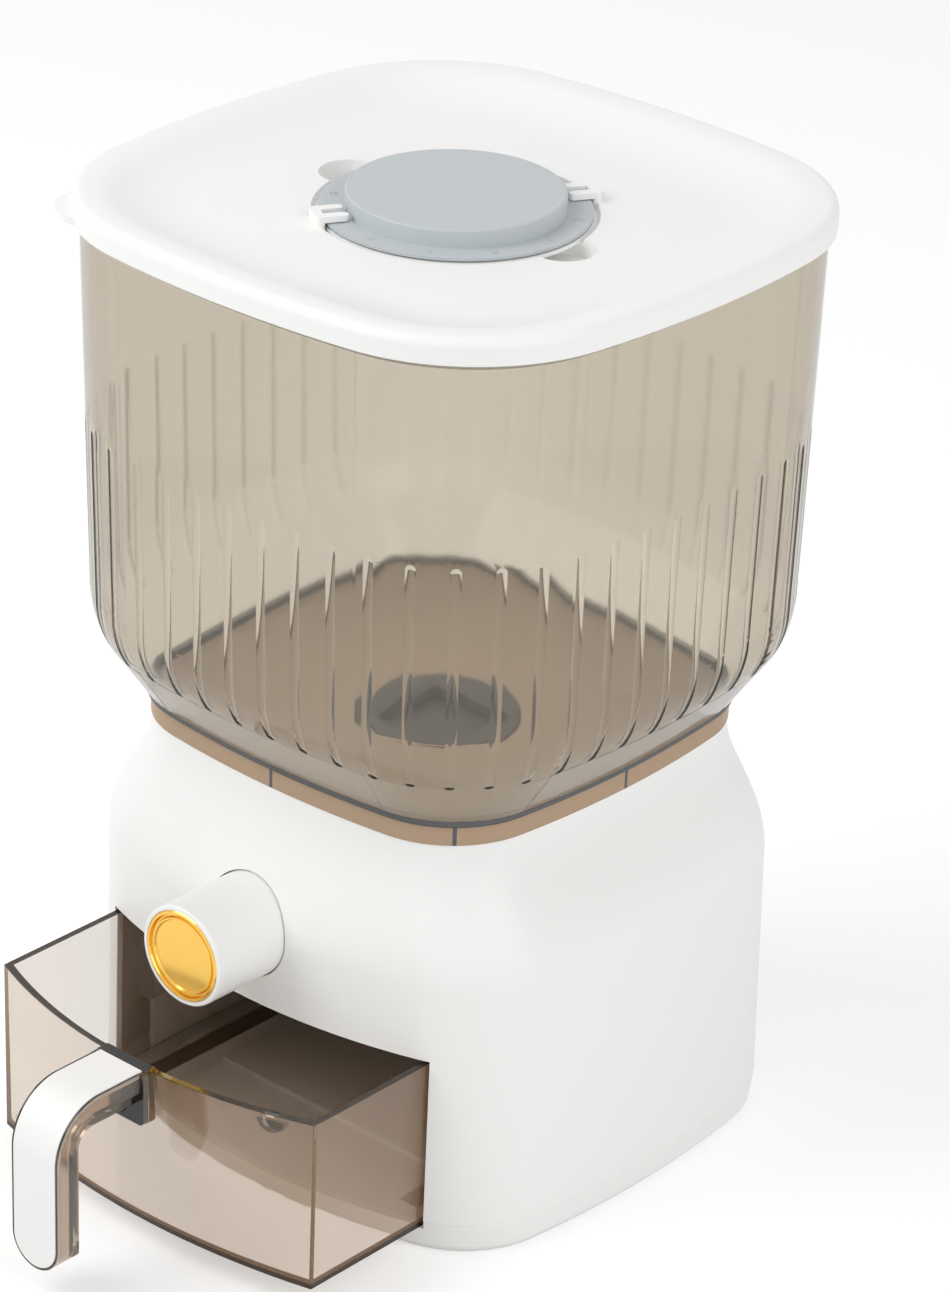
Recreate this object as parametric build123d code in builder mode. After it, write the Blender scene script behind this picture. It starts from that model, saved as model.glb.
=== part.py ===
from build123d import *
import os
from math import cos, hypot, pi, radians, sin, sqrt, degrees, atan2

os.makedirs("parts", exist_ok=True)

# Rice dispenser. Millimetres, +Z up, front is -Y, z = 0 is the underside of the base.

# Overall
TOTAL_H = 338.5
SEAM_Z = 12.0
NECK_TOP_Z = 148.7
WALL = 2.4
FIT = 0.06
GAP = 0.3

# Rounded square that the hopper, neck and lid share: half width, side arc, corner arc
NECK_HALF = 83.2
NECK_SIDE_R = 380.8
NECK_CORNER_R = 35.8

# Base footprint: half sizes, side arcs, corner arc
BASE_HX = 101.2
BASE_HY = 96.8
BASE_RX = 425.0
BASE_RY = 225.0
BASE_RC = 40.0
BASE_DRAFT = 1.1
SHOULDER_LOW_Z = NECK_TOP_Z - 47.7
SHOULDER_HIGH_Z = NECK_TOP_Z - 2.7
LIP_OUT = NECK_HALF - 3.8

# Lid outside
LID_HALF = 110.0
LID_TOP_T = 2.4
LID_SIDE_H = 9.1
LID_SIDE_T = 1.9
LID_CLEAR = 0.56
LID_LOW_Z = TOTAL_H - LID_SIDE_H

# Hopper
HOPPER_SLOPE = 0.0241
HOPPER_TOP_Z = TOTAL_H - LID_TOP_T
HOPPER_TOP_HALF = LID_HALF - LID_SIDE_T - LID_CLEAR
HOPPER_TURN_Z = NECK_TOP_Z + 36.3
HOPPER_TURN = (HOPPER_TOP_HALF - (HOPPER_TOP_Z - HOPPER_TURN_Z) * HOPPER_SLOPE, HOPPER_TURN_Z)
HOPPER_TURN_R = 36.0
SKIRT_HALF = NECK_HALF + 0.4
SKIRT_T = 2.2
SKIRT_H = 7.9
HOPPER_CONE_LOW = (SKIRT_HALF + 1.8, NECK_TOP_Z + SKIRT_H + 1.8)
LEDGE_Z = NECK_TOP_Z + 4.3
LEDGE_T = 2.0
LEDGE_IN = SKIRT_HALF - SKIRT_T - 4.4
FLUTE_COUNT = 50
FLUTE_W = 3.8
FLUTE_DEPTH = 0.42
FLUTE_R = (FLUTE_W * FLUTE_W / 4 + FLUTE_DEPTH * FLUTE_DEPTH) / (2 * FLUTE_DEPTH)
FLUTE_LOW_Z = NECK_TOP_Z + 27.8
FLUTE_HIGH_Z = 257.2

# Deck inside the base, outlet and shutter. The shutter's hole waits in front of the outlet.
DECK_T = 2.5
DECK_Z = NECK_TOP_Z - 16.7
OUTLET = 34.0
THROAT_R = OUTLET / 2 + 11.0
THROAT_TOP_Z = NECK_TOP_Z - 1.5
PLATE_T = 2.0
GUIDE_Z = DECK_Z + DECK_T + PLATE_T
GATE_Z = GUIDE_Z + PLATE_T
GATE_T = 2.5
GATE_HALF_W = OUTLET / 2 + 3.6
STROKE = 20.0
GATE_HOLE_REAR = -OUTLET / 2 - 3.5
GATE_HOLE_FRONT = GATE_HOLE_REAR - STROKE + 2.0
ARM_Y = GATE_HOLE_FRONT - 11.5
ARM_T = 3.0
GATE_FRONT_Y = ARM_Y - 4.0
GATE_BACK_Y = OUTLET / 2 + 5.0
SEAT_Y = ARM_Y - 10.0
RAIL_TOP_Z = GATE_Z + GATE_T + 2.4
RAIL_IN = GATE_HALF_W + 0.4
RAIL_T = 4.0
GUIDE_FRONT_Y = SEAT_Y
GUIDE_BACK_Y = GATE_BACK_Y + STROKE + 4.0
CHUTE_HALF = OUTLET / 2 + 1.0
CHUTE_T = 2.0
DECK_SCREW_X = OUTLET / 2 + 12.5
DECK_SCREW_MID = 2.0
DECK_SCREW_REACH = OUTLET + 8.0
DECK_SCREW_R = 1.2
FLANGE_X = 2 * DECK_SCREW_X + 9.0
FLANGE_Y = DECK_SCREW_REACH + 9.0
FLANGE_FRONT_Y = DECK_SCREW_MID - FLANGE_Y / 2
DECK_SCREWS = [(sx * DECK_SCREW_X, DECK_SCREW_MID + sy * DECK_SCREW_REACH / 2) for sx in (-1, 1) for sy in (-1, 1)]
HANGER_X = 11.5
HANGER_Y = SEAT_Y - 7.0
HANGER_SCREWS = [(-HANGER_X, HANGER_Y), (HANGER_X, HANGER_Y)]

# Button, centred on the front at this height
BTN_Z = SHOULDER_LOW_Z
BTN_R = 17.94
BTN_FRONT_Y = -BASE_HY - 28.2
BTN_REAR_Y = SEAT_Y - STROKE
BTN_WALL = 2.54
WEB_Y = BTN_FRONT_Y + 5.0
RING_R = BTN_R + FIT + 2.4
ROD_R = 4.0
BUSH_R = 6.5
COIL_R = 9.0
WIRE_R = 0.65
COIL_TURNS = 8

# Drawer, drawn pulled out by CLOSE_TRAVEL
CLOSE_TRAVEL = 55.7
CLOSED_BACK_Y = BASE_HY - 20.1
DRW_HALF = BASE_HX - 28.2
DRW_Z = 9.4
RIM_Z = BTN_Z - 28.2
DRW_BACK_Y = CLOSED_BACK_Y - CLOSE_TRAVEL
DRW_MID_Y = -BASE_HY + 1.2 - CLOSE_TRAVEL
DRW_CORNER_Y = DRW_MID_Y + 14.3
DRW_LOW_MID_Y = DRW_MID_Y + 5.1
DRW_T = 2.2
MARK_X = 58.0
MARK_R = 4.8
OPEN_HALF = DRW_HALF + 1.0
OPEN_TOP_Z = RIM_Z + 1.2
CHUTE_LOW_Z = RIM_Z + 3.2
PLATE_FLOOR = 2.6
RUNNER_X = DRW_HALF - 13.0
FENCE_X = DRW_HALF + 0.8
FENCE_T = 1.6

# Handle
HND_HALF = 10.7
HND_FACE_Y = DRW_MID_Y - 41.1
HND_R = 20.0
HND_END_Z = 10.2
HND_ROOT_Y = DRW_MID_Y - 1.3
HND_ROOT_Z = RIM_Z - 9.8
STRAP_T = 1.9
STRAP_HALF = HND_HALF - 1.0

# Lid inside, dial and cup
RIM_FLAT = 5.4
DISH_DEPTH = 7.1
DISH_RUN = 34.6
DISH_LIP_R = 22.0
LID_FLOOR_Z = TOTAL_H - DISH_DEPTH
LID_BORE = HOPPER_TOP_HALF - WALL
RECESS_R = 47.5
RECESS_FLOOR_Z = TOTAL_H - 8.9
WELL_T = 2.0
POCKET_R = 11.0
POCKET_X = RECESS_R - 0.5
POCKET_FLOOR_Z = RECESS_FLOOR_Z - 4.0
CUP_R = RECESS_R - 11.3
CUP_RIM_R = RECESS_R - 2.1
CUP_RIM_Z = RECESS_FLOOR_Z + 1.3
CUP_DEPTH = 27.6
CUP_T = 1.6
CAP_R = CUP_R + 0.3
CAP_FLANGE_R = RECESS_R - 2.3
CAP_TOP_Z = TOTAL_H + 0.2
DIAL_Z = CUP_RIM_Z + 0.6
DIAL_T = 1.0
CLIP_ANGLE = 60.0
CLIP_W = 3.6
CLIP_PITCH = 7.0
CLIP_LOW_Z = DIAL_Z + DIAL_T + 0.4
CLIP_TOP_Z = CLIP_LOW_Z + 2.0
TAB_SINK = 9.6
TAB_R = 15.0

# Screws and feet
SCREW_X = BASE_HX - 17.2
SCREW_Y = 50.0
SCREW_R = 1.5
SCREW_SEAT_Z = 3.4
POST_Z = 6.2
FOOT_X = BASE_HX - 35.2
FOOT_Y = BASE_HY - 34.8
FOOT_R = 8.0
FOOT_T = 1.2


# Shared shapes

def corner_centre(hx, hy, rx, ry, rc):
    """Centre of the corner arc that meets both side arcs smoothly."""
    ax = hx - rx
    by = hy - ry
    ra = rx - rc
    rb = ry - rc
    span = hypot(ax, by)
    along = (ra * ra - rb * rb + span * span) / (2 * span)
    rise = sqrt(ra * ra - along * along)
    ex = -ax / span
    ey = by / span
    return ax + along * ex - rise * ey, along * ey + rise * ex


def outline(hx, hy, rx, ry, rc):
    """Rounded square of eight arcs, drawn into the sketch being built."""
    cx, cy = corner_centre(hx, hy, rx, ry, rc)
    ax = hx - rx
    by = hy - ry
    la = hypot(cx - ax, cy)
    lb = hypot(cx, cy - by)
    t1 = (ax + rx * (cx - ax) / la, rx * cy / la)
    t2 = (ry * cx / lb, by + ry * (cy - by) / lb)
    mx = (t1[0] + t2[0]) / 2 - cx
    my = (t1[1] + t2[1]) / 2 - cy
    lm = hypot(mx, my)
    cm = (cx + rc * mx / lm, cy + rc * my / lm)
    with BuildLine() as arcs:
        ThreePointArc((t1[0], -t1[1]), (hx, 0), t1)
        ThreePointArc(t1, cm, t2)
        ThreePointArc(t2, (0, hy), (-t2[0], t2[1]))
        ThreePointArc((-t2[0], t2[1]), (-cm[0], cm[1]), (-t1[0], t1[1]))
        ThreePointArc((-t1[0], t1[1]), (-hx, 0), (-t1[0], -t1[1]))
        ThreePointArc((-t1[0], -t1[1]), (-cm[0], -cm[1]), (-t2[0], -t2[1]))
        ThreePointArc((-t2[0], -t2[1]), (0, -hy), (t2[0], -t2[1]))
        ThreePointArc((t2[0], -t2[1]), (cm[0], -cm[1]), (t1[0], -t1[1]))
    make_face(arcs.edges())


def square_at(half):
    """The hopper's rounded square at a given half width."""
    d = half - NECK_HALF
    return half, half, NECK_SIDE_R + d, NECK_SIDE_R + d, NECK_CORNER_R + d


def base_at(z, inset=0.0):
    """The base's outline at height z, drawn in by inset."""
    low = (z - SEAM_Z) / (SHOULDER_LOW_Z - SEAM_Z)
    s = (z - SHOULDER_LOW_Z) / (SHOULDER_HIGH_Z - SHOULDER_LOW_Z)
    s = min(max(s, 0.0), 1.0)
    t = s * s * (3 - 2 * s)
    draft = BASE_DRAFT * min(low, 1.0)
    wide = (BASE_HX - draft, BASE_HY - draft, BASE_RX, BASE_RY, BASE_RC)
    neck = (NECK_HALF, NECK_HALF, NECK_SIDE_R, NECK_SIDE_R, NECK_CORNER_R)
    return [w + (n - w) * t - inset for w, n in zip(wide, neck)]


# The eight arcs of the shared rounded square, as centre, start angle, sweep and radius
SQ_C = corner_centre(*square_at(NECK_HALF))[0]
SQ_TURN = degrees(atan2(SQ_C, SQ_C - NECK_HALF + NECK_SIDE_R))
SECTORS = []
for quarter in range(4):
    qa = radians(90 * quarter)
    side_c = NECK_HALF - NECK_SIDE_R
    side_o = (side_c * cos(qa), side_c * sin(qa))
    corner_o = (SQ_C * (cos(qa) - sin(qa)), SQ_C * (sin(qa) + cos(qa)))
    SECTORS.append((side_o, 90 * quarter - SQ_TURN, 2 * SQ_TURN, NECK_SIDE_R))
    SECTORS.append((corner_o, 90 * quarter + SQ_TURN, 90 - 2 * SQ_TURN, NECK_CORNER_R))


def turn_wall(draw, mode=Mode.ADD):
    """Carry a wall profile round the rounded square. draw(shift) draws it with x = half width + shift."""
    for centre, start, span, radius in SECTORS:
        a = radians(start)
        plane = Plane(
            origin=(centre[0], centre[1], 0),
            x_dir=(cos(a), sin(a), 0),
            z_dir=(sin(a), -cos(a), 0),
        )
        with BuildSketch(plane) as slice_face:
            with BuildLine():
                draw(radius - NECK_HALF)
            make_face()
        axis = Axis((centre[0], centre[1], 0), (0, 0, 1))
        revolve(slice_face.sketch, axis=axis, revolution_arc=span, mode=mode)


def closed_profile(points):
    """A drawing function for a straight-sided profile of (half width, z) points."""
    def draw(shift):
        Polyline(*[(h + shift, z) for h, z in points], close=True)
    return draw


def rounded_turn(p0, p1, p2, r):
    """Tangent points and middle of an arc of radius r in the corner p1."""
    l0 = hypot(p0[0] - p1[0], p0[1] - p1[1])
    l2 = hypot(p2[0] - p1[0], p2[1] - p1[1])
    u0 = ((p0[0] - p1[0]) / l0, (p0[1] - p1[1]) / l0)
    u2 = ((p2[0] - p1[0]) / l2, (p2[1] - p1[1]) / l2)
    half = 0.5 * (pi - abs(atan2(u0[0] * u2[1] - u0[1] * u2[0], u0[0] * u2[0] + u0[1] * u2[1])))
    run = r * (sin(half) / cos(half))
    a = (p1[0] + u0[0] * run, p1[1] + u0[1] * run)
    b = (p1[0] + u2[0] * run, p1[1] + u2[1] * run)
    bx = u0[0] + u2[0]
    by = u0[1] + u2[1]
    lb = hypot(bx, by)
    reach = r / cos(half) - r
    return a, (p1[0] + bx / lb * reach, p1[1] + by / lb * reach), b


def hopper_half(z):
    """Outer half width of the straight upper wall at height z."""
    return HOPPER_TURN[0] + (z - HOPPER_TURN[1]) * HOPPER_SLOPE


def wall_points(inset, low_z, high_z):
    """Hopper wall line drawn in by inset: low end, bend start, bend middle, bend end, high end."""
    cone = (HOPPER_TURN[0] - HOPPER_CONE_LOW[0]) / (HOPPER_TURN[1] - HOPPER_CONE_LOW[1])
    cone_in = inset * sqrt(1 + cone * cone)
    wall_in = inset * sqrt(1 + HOPPER_SLOPE * HOPPER_SLOPE)
    lift = (cone_in - wall_in) / (cone - HOPPER_SLOPE)
    corner = (HOPPER_TURN[0] - wall_in + HOPPER_SLOPE * lift, HOPPER_TURN[1] + lift)
    low = (corner[0] + cone * (low_z - corner[1]), low_z)
    high = (corner[0] + HOPPER_SLOPE * (high_z - corner[1]), high_z)
    a, m, b = rounded_turn(low, corner, high, HOPPER_TURN_R - inset)
    return low, a, m, b, high


# Base

SHOULDER_RISE = SHOULDER_HIGH_Z - SHOULDER_LOW_Z
SHOULDER_STEPS = (-3 / 45, 3 / 45, 9 / 45, 16 / 45, 23 / 45, 30 / 45, 37 / 45, 42.5 / 45)
SHOULDER_LEVELS = [SHOULDER_LOW_Z + SHOULDER_RISE * step for step in SHOULDER_STEPS] + [NECK_TOP_Z]
LIP_POINTS = [
    (LIP_OUT - 2.2, NECK_TOP_Z - 4.7),
    (LIP_OUT + 2.0, NECK_TOP_Z - 4.7),
    (LIP_OUT + 2.0, NECK_TOP_Z - 2.1),
    (LIP_OUT, NECK_TOP_Z - 1.3),
    (LIP_OUT, NECK_TOP_Z + 3.7),
    (LIP_OUT - 2.2, NECK_TOP_Z + 3.7),
]

with BuildPart() as base_shell:
    for inset, mode in ((0.0, Mode.ADD), (WALL, Mode.SUBTRACT)):
        for z in (SEAM_Z, SHOULDER_LEVELS[0]):
            with BuildSketch(Plane.XY.offset(z)):
                outline(*base_at(z, inset))
        loft(ruled=True, mode=mode)
        for z in SHOULDER_LEVELS:
            with BuildSketch(Plane.XY.offset(z)):
                outline(*base_at(z, inset))
        loft(mode=mode)
    # locating lip that the hopper's skirt drops over
    turn_wall(closed_profile(LIP_POINTS))
    # deck
    with BuildSketch(Plane.XY.offset(DECK_Z)):
        outline(*base_at(DECK_Z + DECK_T, WALL - 1.0))
    extrude(amount=DECK_T)
    with BuildSketch(Plane.XY.offset(DECK_Z - 6)):
        with Locations(*DECK_SCREWS):
            Circle(3.4)
    extrude(amount=6)
    with BuildSketch(Plane.XY.offset(DECK_Z + DECK_T)):
        with Locations(*HANGER_SCREWS):
            Circle(3.4)
    extrude(amount=5)
    with BuildSketch(Plane.XY.offset(DECK_Z - 1)):
        Rectangle(2 * (CHUTE_HALF + CHUTE_T) + 0.8, 2 * (CHUTE_HALF + CHUTE_T) + 0.8)
        with Locations((0, ARM_Y + ARM_T / 2 + STROKE / 2)):
            Rectangle(13, STROKE + ARM_T + 5)
    extrude(amount=DECK_T + 2, mode=Mode.SUBTRACT)
    with BuildSketch(Plane.XY.offset(DECK_Z - 4)):
        with Locations(*DECK_SCREWS):
            Circle(DECK_SCREW_R + FIT)
    extrude(amount=DECK_T + 4, mode=Mode.SUBTRACT)
    with BuildSketch(Plane.XY.offset(DECK_Z)):
        with Locations(*HANGER_SCREWS):
            Circle(DECK_SCREW_R + FIT)
    extrude(amount=DECK_T + 3.5, mode=Mode.SUBTRACT)
    # screw posts, each tied to the wall by a rib
    for sx in (-1, 1):
        for sy in (-1, 1):
            with BuildSketch(Plane.XY.offset(POST_Z)):
                with Locations((sx * SCREW_X, sy * SCREW_Y)):
                    Circle(4.6)
            extrude(amount=34)
            with BuildSketch(Plane.XY.offset(16)):
                with Locations((sx * (SCREW_X + 7), sy * SCREW_Y)):
                    Rectangle(10, 2.4)
            extrude(amount=24)
            with BuildSketch(Plane.XY.offset(POST_Z)):
                with Locations((sx * SCREW_X, sy * SCREW_Y)):
                    Circle(SCREW_R + FIT)
            extrude(amount=16, mode=Mode.SUBTRACT)
    # drawer opening
    with BuildSketch(Plane.XY.offset(SEAM_Z - 1)):
        with Locations((0, -BASE_HY + 6.8)):
            Rectangle(2 * OPEN_HALF, 60)
    extrude(amount=OPEN_TOP_Z - SEAM_Z + 1, mode=Mode.SUBTRACT)
    # button hole
    with BuildSketch(Plane.XZ.offset(BASE_HY - 26.8)):
        with Locations((0, BTN_Z)):
            Circle(BTN_R + 0.5)
    extrude(amount=40, mode=Mode.SUBTRACT)
base_shell.part.label = "base_shell"
export_step(base_shell.part, "parts/base_shell.step")

PLATE_LEVELS = ((0.0, 3.5), (2.8, 1.2), (SEAM_Z - 0.8, 0.1), (SEAM_Z, 0.7))
with BuildPart() as base_plate:
    for (z0, d0), (z1, d1) in zip(PLATE_LEVELS, PLATE_LEVELS[1:]):
        with BuildSketch(Plane.XY.offset(z0)):
            outline(*base_at(SEAM_Z, d0))
        with BuildSketch(Plane.XY.offset(z1)):
            outline(*base_at(SEAM_Z, d1))
        loft(ruled=True)
    for z, d in ((PLATE_FLOOR, 5.2), (SEAM_Z, 2.6)):
        with BuildSketch(Plane.XY.offset(z)):
            outline(*base_at(SEAM_Z, d))
    loft(ruled=True, mode=Mode.SUBTRACT)
    # the front edge drops under the drawer
    with BuildSketch(Plane.XY.offset(DRW_Z - 0.4)):
        with Locations((0, -BASE_HY + 6.8)):
            Rectangle(2 * OPEN_HALF, 60)
    extrude(amount=5, mode=Mode.SUBTRACT)
    for sx in (-1, 1):
        for sy in (-1, 1):
            with BuildSketch(Plane.XY.offset(PLATE_FLOOR - 0.5)):
                with Locations((sx * SCREW_X, sy * SCREW_Y)):
                    Circle(6)
            extrude(amount=POST_Z - PLATE_FLOOR + 0.5)
            with BuildSketch(Plane.XY):
                with Locations((sx * SCREW_X, sy * SCREW_Y)):
                    Circle(3.8)
            extrude(amount=SCREW_SEAT_Z, mode=Mode.SUBTRACT)
            with BuildSketch(Plane.XY.offset(SCREW_SEAT_Z)):
                with Locations((sx * SCREW_X, sy * SCREW_Y)):
                    Circle(SCREW_R + 0.3)
            extrude(amount=POST_Z - SCREW_SEAT_Z, mode=Mode.SUBTRACT)
            with BuildSketch(Plane.XY):
                with Locations((sx * FOOT_X, sy * FOOT_Y)):
                    Circle(FOOT_R + 0.2)
            extrude(amount=FOOT_T, mode=Mode.SUBTRACT)
base_plate.part.label = "base_plate"
export_step(base_plate.part, "parts/base_plate.step")

with BuildPart() as feet:
    with BuildSketch(Plane.XY):
        with Locations(*[(sx * FOOT_X, sy * FOOT_Y) for sx in (-1, 1) for sy in (-1, 1)]):
            Circle(FOOT_R)
    extrude(amount=FOOT_T)
feet.part.label = "feet"
export_step(feet.part, "parts/feet.step")

with BuildPart() as plate_screws:
    SCREW_SPOTS = [(sx * SCREW_X, sy * SCREW_Y) for sx in (-1, 1) for sy in (-1, 1)]
    with BuildSketch(Plane.XY.offset(SCREW_SEAT_Z - 2.1)):
        with Locations(*SCREW_SPOTS):
            Circle(3.4)
    extrude(amount=2.1)
    with BuildSketch(Plane.XY.offset(SCREW_SEAT_Z)):
        with Locations(*SCREW_SPOTS):
            Circle(SCREW_R)
    extrude(amount=13)
    with BuildSketch(Plane.XY.offset(SCREW_SEAT_Z - 2.1)):
        with Locations(*SCREW_SPOTS):
            Rectangle(4, 0.9)
            Rectangle(0.9, 4)
    extrude(amount=1.0, mode=Mode.SUBTRACT)
plate_screws.part.label = "plate_screws"
export_step(plate_screws.part, "parts/plate_screws.step")

RUNNER_FRONT_Y = -BASE_HY + 18.8
RUNNER_BACK_Y = CLOSED_BACK_Y - 0.7
FENCE_FRONT_Y = RUNNER_FRONT_Y + 12.0
STOP_Y = CLOSED_BACK_Y + 0.3
with BuildPart() as drawer_rails:
    with BuildSketch(Plane.XY.offset(PLATE_FLOOR)):
        for sx in (-1, 1):
            with Locations((sx * RUNNER_X, (RUNNER_FRONT_Y + RUNNER_BACK_Y) / 2)):
                Rectangle(8, RUNNER_BACK_Y - RUNNER_FRONT_Y)
    extrude(amount=DRW_Z - PLATE_FLOOR)
    # flat ties, the last one wide enough to carry the rear stop
    with BuildSketch(Plane.XY.offset(PLATE_FLOOR)):
        with Locations((0, FENCE_FRONT_Y + 23), (0, 8)):
            Rectangle(2 * (FENCE_X + FENCE_T), 10)
        with Locations((0, RUNNER_BACK_Y - 6)):
            Rectangle(2 * (FENCE_X + FENCE_T), 8)
        with Locations((0, RUNNER_BACK_Y - 2)):
            Rectangle(118, 2 * (STOP_Y + 2 - RUNNER_BACK_Y + 2))
    extrude(amount=1.6)
    with BuildSketch(Plane.XY.offset(PLATE_FLOOR)):
        for sx in (-1, 1):
            with Locations((sx * (FENCE_X + FENCE_T / 2), (FENCE_FRONT_Y + RUNNER_BACK_Y - 2) / 2)):
                Rectangle(FENCE_T, RUNNER_BACK_Y - 2 - FENCE_FRONT_Y)
    extrude(amount=27)
    # rear stop
    with BuildSketch(Plane.XY.offset(PLATE_FLOOR)):
        with Locations((0, STOP_Y + 1)):
            Rectangle(118, 2)
    extrude(amount=20)
drawer_rails.part.label = "drawer_rails"
export_step(drawer_rails.part, "parts/drawer_rails.step")

# Hopper

# One flute cutter, with the shared square's side at x = 0
bend_a, bend_m, bend_b = wall_points(0.0, HOPPER_CONE_LOW[1], HOPPER_TOP_Z)[1:4]
ux = bend_m[0] - (bend_a[0] + bend_b[0]) / 2
uz = bend_m[1] - (bend_a[1] + bend_b[1]) / 2
BEND_C = (bend_m[0] - ux / hypot(ux, uz) * HOPPER_TURN_R, bend_m[1] - uz / hypot(ux, uz) * HOPPER_TURN_R)


def flute_edge(inset, low_z, high_z):
    """Line parallel to the wall, from the lower end on the bend to the upper end."""
    r = HOPPER_TURN_R - inset
    wall = wall_points(inset, HOPPER_CONE_LOW[1], high_z)
    mid_z = (low_z + wall[3][1]) / 2
    low = (BEND_C[0] + sqrt(r * r - (low_z - BEND_C[1]) ** 2), low_z)
    mid = (BEND_C[0] + sqrt(r * r - (mid_z - BEND_C[1]) ** 2), mid_z)
    return [(h - NECK_HALF, z) for h, z in (low, mid, wall[3], wall[4])]


# a round bar along the wall, sunk by the flute's depth, with ball ends
with BuildPart() as flute:
    with BuildLine(Plane.XZ) as run:
        track = flute_edge(FLUTE_DEPTH - FLUTE_R, FLUTE_LOW_Z, FLUTE_HIGH_Z)
        ThreePointArc(track[0], track[1], track[2])
        Line(track[2], track[3])
    with BuildSketch(Plane(origin=run.wires()[0] @ 0, z_dir=run.wires()[0] % 0)):
        Circle(FLUTE_R)
    sweep(path=run.wires()[0])
    for end in (run.wires()[0] @ 0, run.wires()[0] @ 1):
        with Locations(end):
            Sphere(FLUTE_R)

with BuildPart() as hopper_shell:
    def hopper_profile(shift):
        low, a, m, b, high = wall_points(0.0, HOPPER_CONE_LOW[1], HOPPER_TOP_Z)
        in_half = SKIRT_HALF - SKIRT_T
        bead_z = NECK_TOP_Z + SKIRT_H
        cone = wall_points(WALL, bead_z, HOPPER_TOP_Z)
        rise = (HOPPER_TURN[1] - HOPPER_CONE_LOW[1]) / (HOPPER_TURN[0] - HOPPER_CONE_LOW[0])
        meet_z = bead_z + (in_half - cone[0][0]) * rise
        ilow, ia, im, ib, ihigh = wall_points(WALL, meet_z, HOPPER_TOP_Z)
        outer = [(SKIRT_HALF, NECK_TOP_Z), (SKIRT_HALF, bead_z), (SKIRT_HALF + 1.4, bead_z), low, a]
        inner = [
            ilow,
            (in_half, LEDGE_Z + LEDGE_T),
            (LEDGE_IN, LEDGE_Z + LEDGE_T),
            (LEDGE_IN, LEDGE_Z),
            (in_half, LEDGE_Z),
            (in_half, NECK_TOP_Z),
            (SKIRT_HALF, NECK_TOP_Z),
        ]
        Polyline(*[(h + shift, z) for h, z in outer])
        ThreePointArc((a[0] + shift, a[1]), (m[0] + shift, m[1]), (b[0] + shift, b[1]))
        Polyline((b[0] + shift, b[1]), (high[0] + shift, high[1]), (ihigh[0] + shift, ihigh[1]), (ib[0] + shift, ib[1]))
        ThreePointArc((ib[0] + shift, ib[1]), (im[0] + shift, im[1]), (ia[0] + shift, ia[1]))
        Polyline((ia[0] + shift, ia[1]), *[(h + shift, z) for h, z in inner])

    turn_wall(hopper_profile)
    # centring ribs inside the skirt, at the middle of each side and at each corner
    RIB_REACH = SKIRT_HALF - SKIRT_T - LIP_OUT - 0.4
    for k in range(8):
        r_in = SKIRT_HALF - SKIRT_T
        if k % 2 == 1:
            r_in = r_in + hypot(SQ_C, SQ_C) + NECK_CORNER_R - NECK_HALF
        with BuildSketch(Plane.XY.offset(NECK_TOP_Z)):
            with PolarLocations(r_in - RIB_REACH / 2 + 0.2, 1, start_angle=45 * k):
                Rectangle(RIB_REACH + 0.4, 1.2)
        extrude(amount=LEDGE_Z - NECK_TOP_Z + 0.5)
    # even steps along the line where the flutes are longest
    run_half = hopper_half(FLUTE_HIGH_Z)
    side_len = 2 * radians(SQ_TURN) * (NECK_SIDE_R + run_half - NECK_HALF)
    corner_len = radians(90 - 2 * SQ_TURN) * (NECK_CORNER_R + run_half - NECK_HALF)
    step = 4 * (side_len + corner_len) / FLUTE_COUNT
    spots = []
    for n in range(FLUTE_COUNT):
        s = n * step + 3 * (side_len + corner_len) + side_len / 2
        s = s % (4 * (side_len + corner_len))
        quarter = int(s // (side_len + corner_len))
        s = s - quarter * (side_len + corner_len)
        if s < side_len:
            centre, start, span, radius = SECTORS[2 * quarter]
            angle = start + span * s / side_len
        else:
            centre, start, span, radius = SECTORS[2 * quarter + 1]
            angle = start + span * (s - side_len) / corner_len
        a = radians(angle)
        spots.append(Location((centre[0] + radius * cos(a), centre[1] + radius * sin(a), 0), (0, 0, angle)))
    with Locations(*spots):
        add(flute.part, mode=Mode.SUBTRACT)
hopper_shell.part.label = "hopper_shell"
export_step(hopper_shell.part, "parts/hopper_shell.step")

ROUND_HOLE = (THROAT_R + 0.4, THROAT_R + 0.4, THROAT_R + 2, THROAT_R + 2, THROAT_R - 1)
FLOOR_RIM_HALF = SKIRT_HALF - SKIRT_T - 0.4
FLOOR_IN = LEDGE_IN - 0.6
MOUTH_Z = THROAT_TOP_Z - 0.6
with BuildPart() as hopper_floor:
    with BuildSketch(Plane.XY.offset(LEDGE_Z + LEDGE_T)):
        outline(*square_at(FLOOR_RIM_HALF))
    extrude(amount=PLATE_T)
    with BuildSketch(Plane.XY.offset(LEDGE_Z + LEDGE_T)):
        outline(*square_at(FLOOR_IN))
    with BuildSketch(Plane.XY.offset(MOUTH_Z - PLATE_T)):
        outline(*[v + 2.0 for v in ROUND_HOLE])
    loft(ruled=True)
    with BuildSketch(Plane.XY.offset(LEDGE_Z + LEDGE_T + PLATE_T)):
        outline(*square_at(FLOOR_IN))
    with BuildSketch(Plane.XY.offset(MOUTH_Z)):
        outline(*ROUND_HOLE)
    loft(ruled=True, mode=Mode.SUBTRACT)
    with BuildSketch(Plane.XY.offset(MOUTH_Z - 6.6)):
        outline(*ROUND_HOLE)
    extrude(amount=7, mode=Mode.SUBTRACT)
hopper_floor.part.label = "hopper_floor"
export_step(hopper_floor.part, "parts/hopper_floor.step")

# Outlet and shutter

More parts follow.
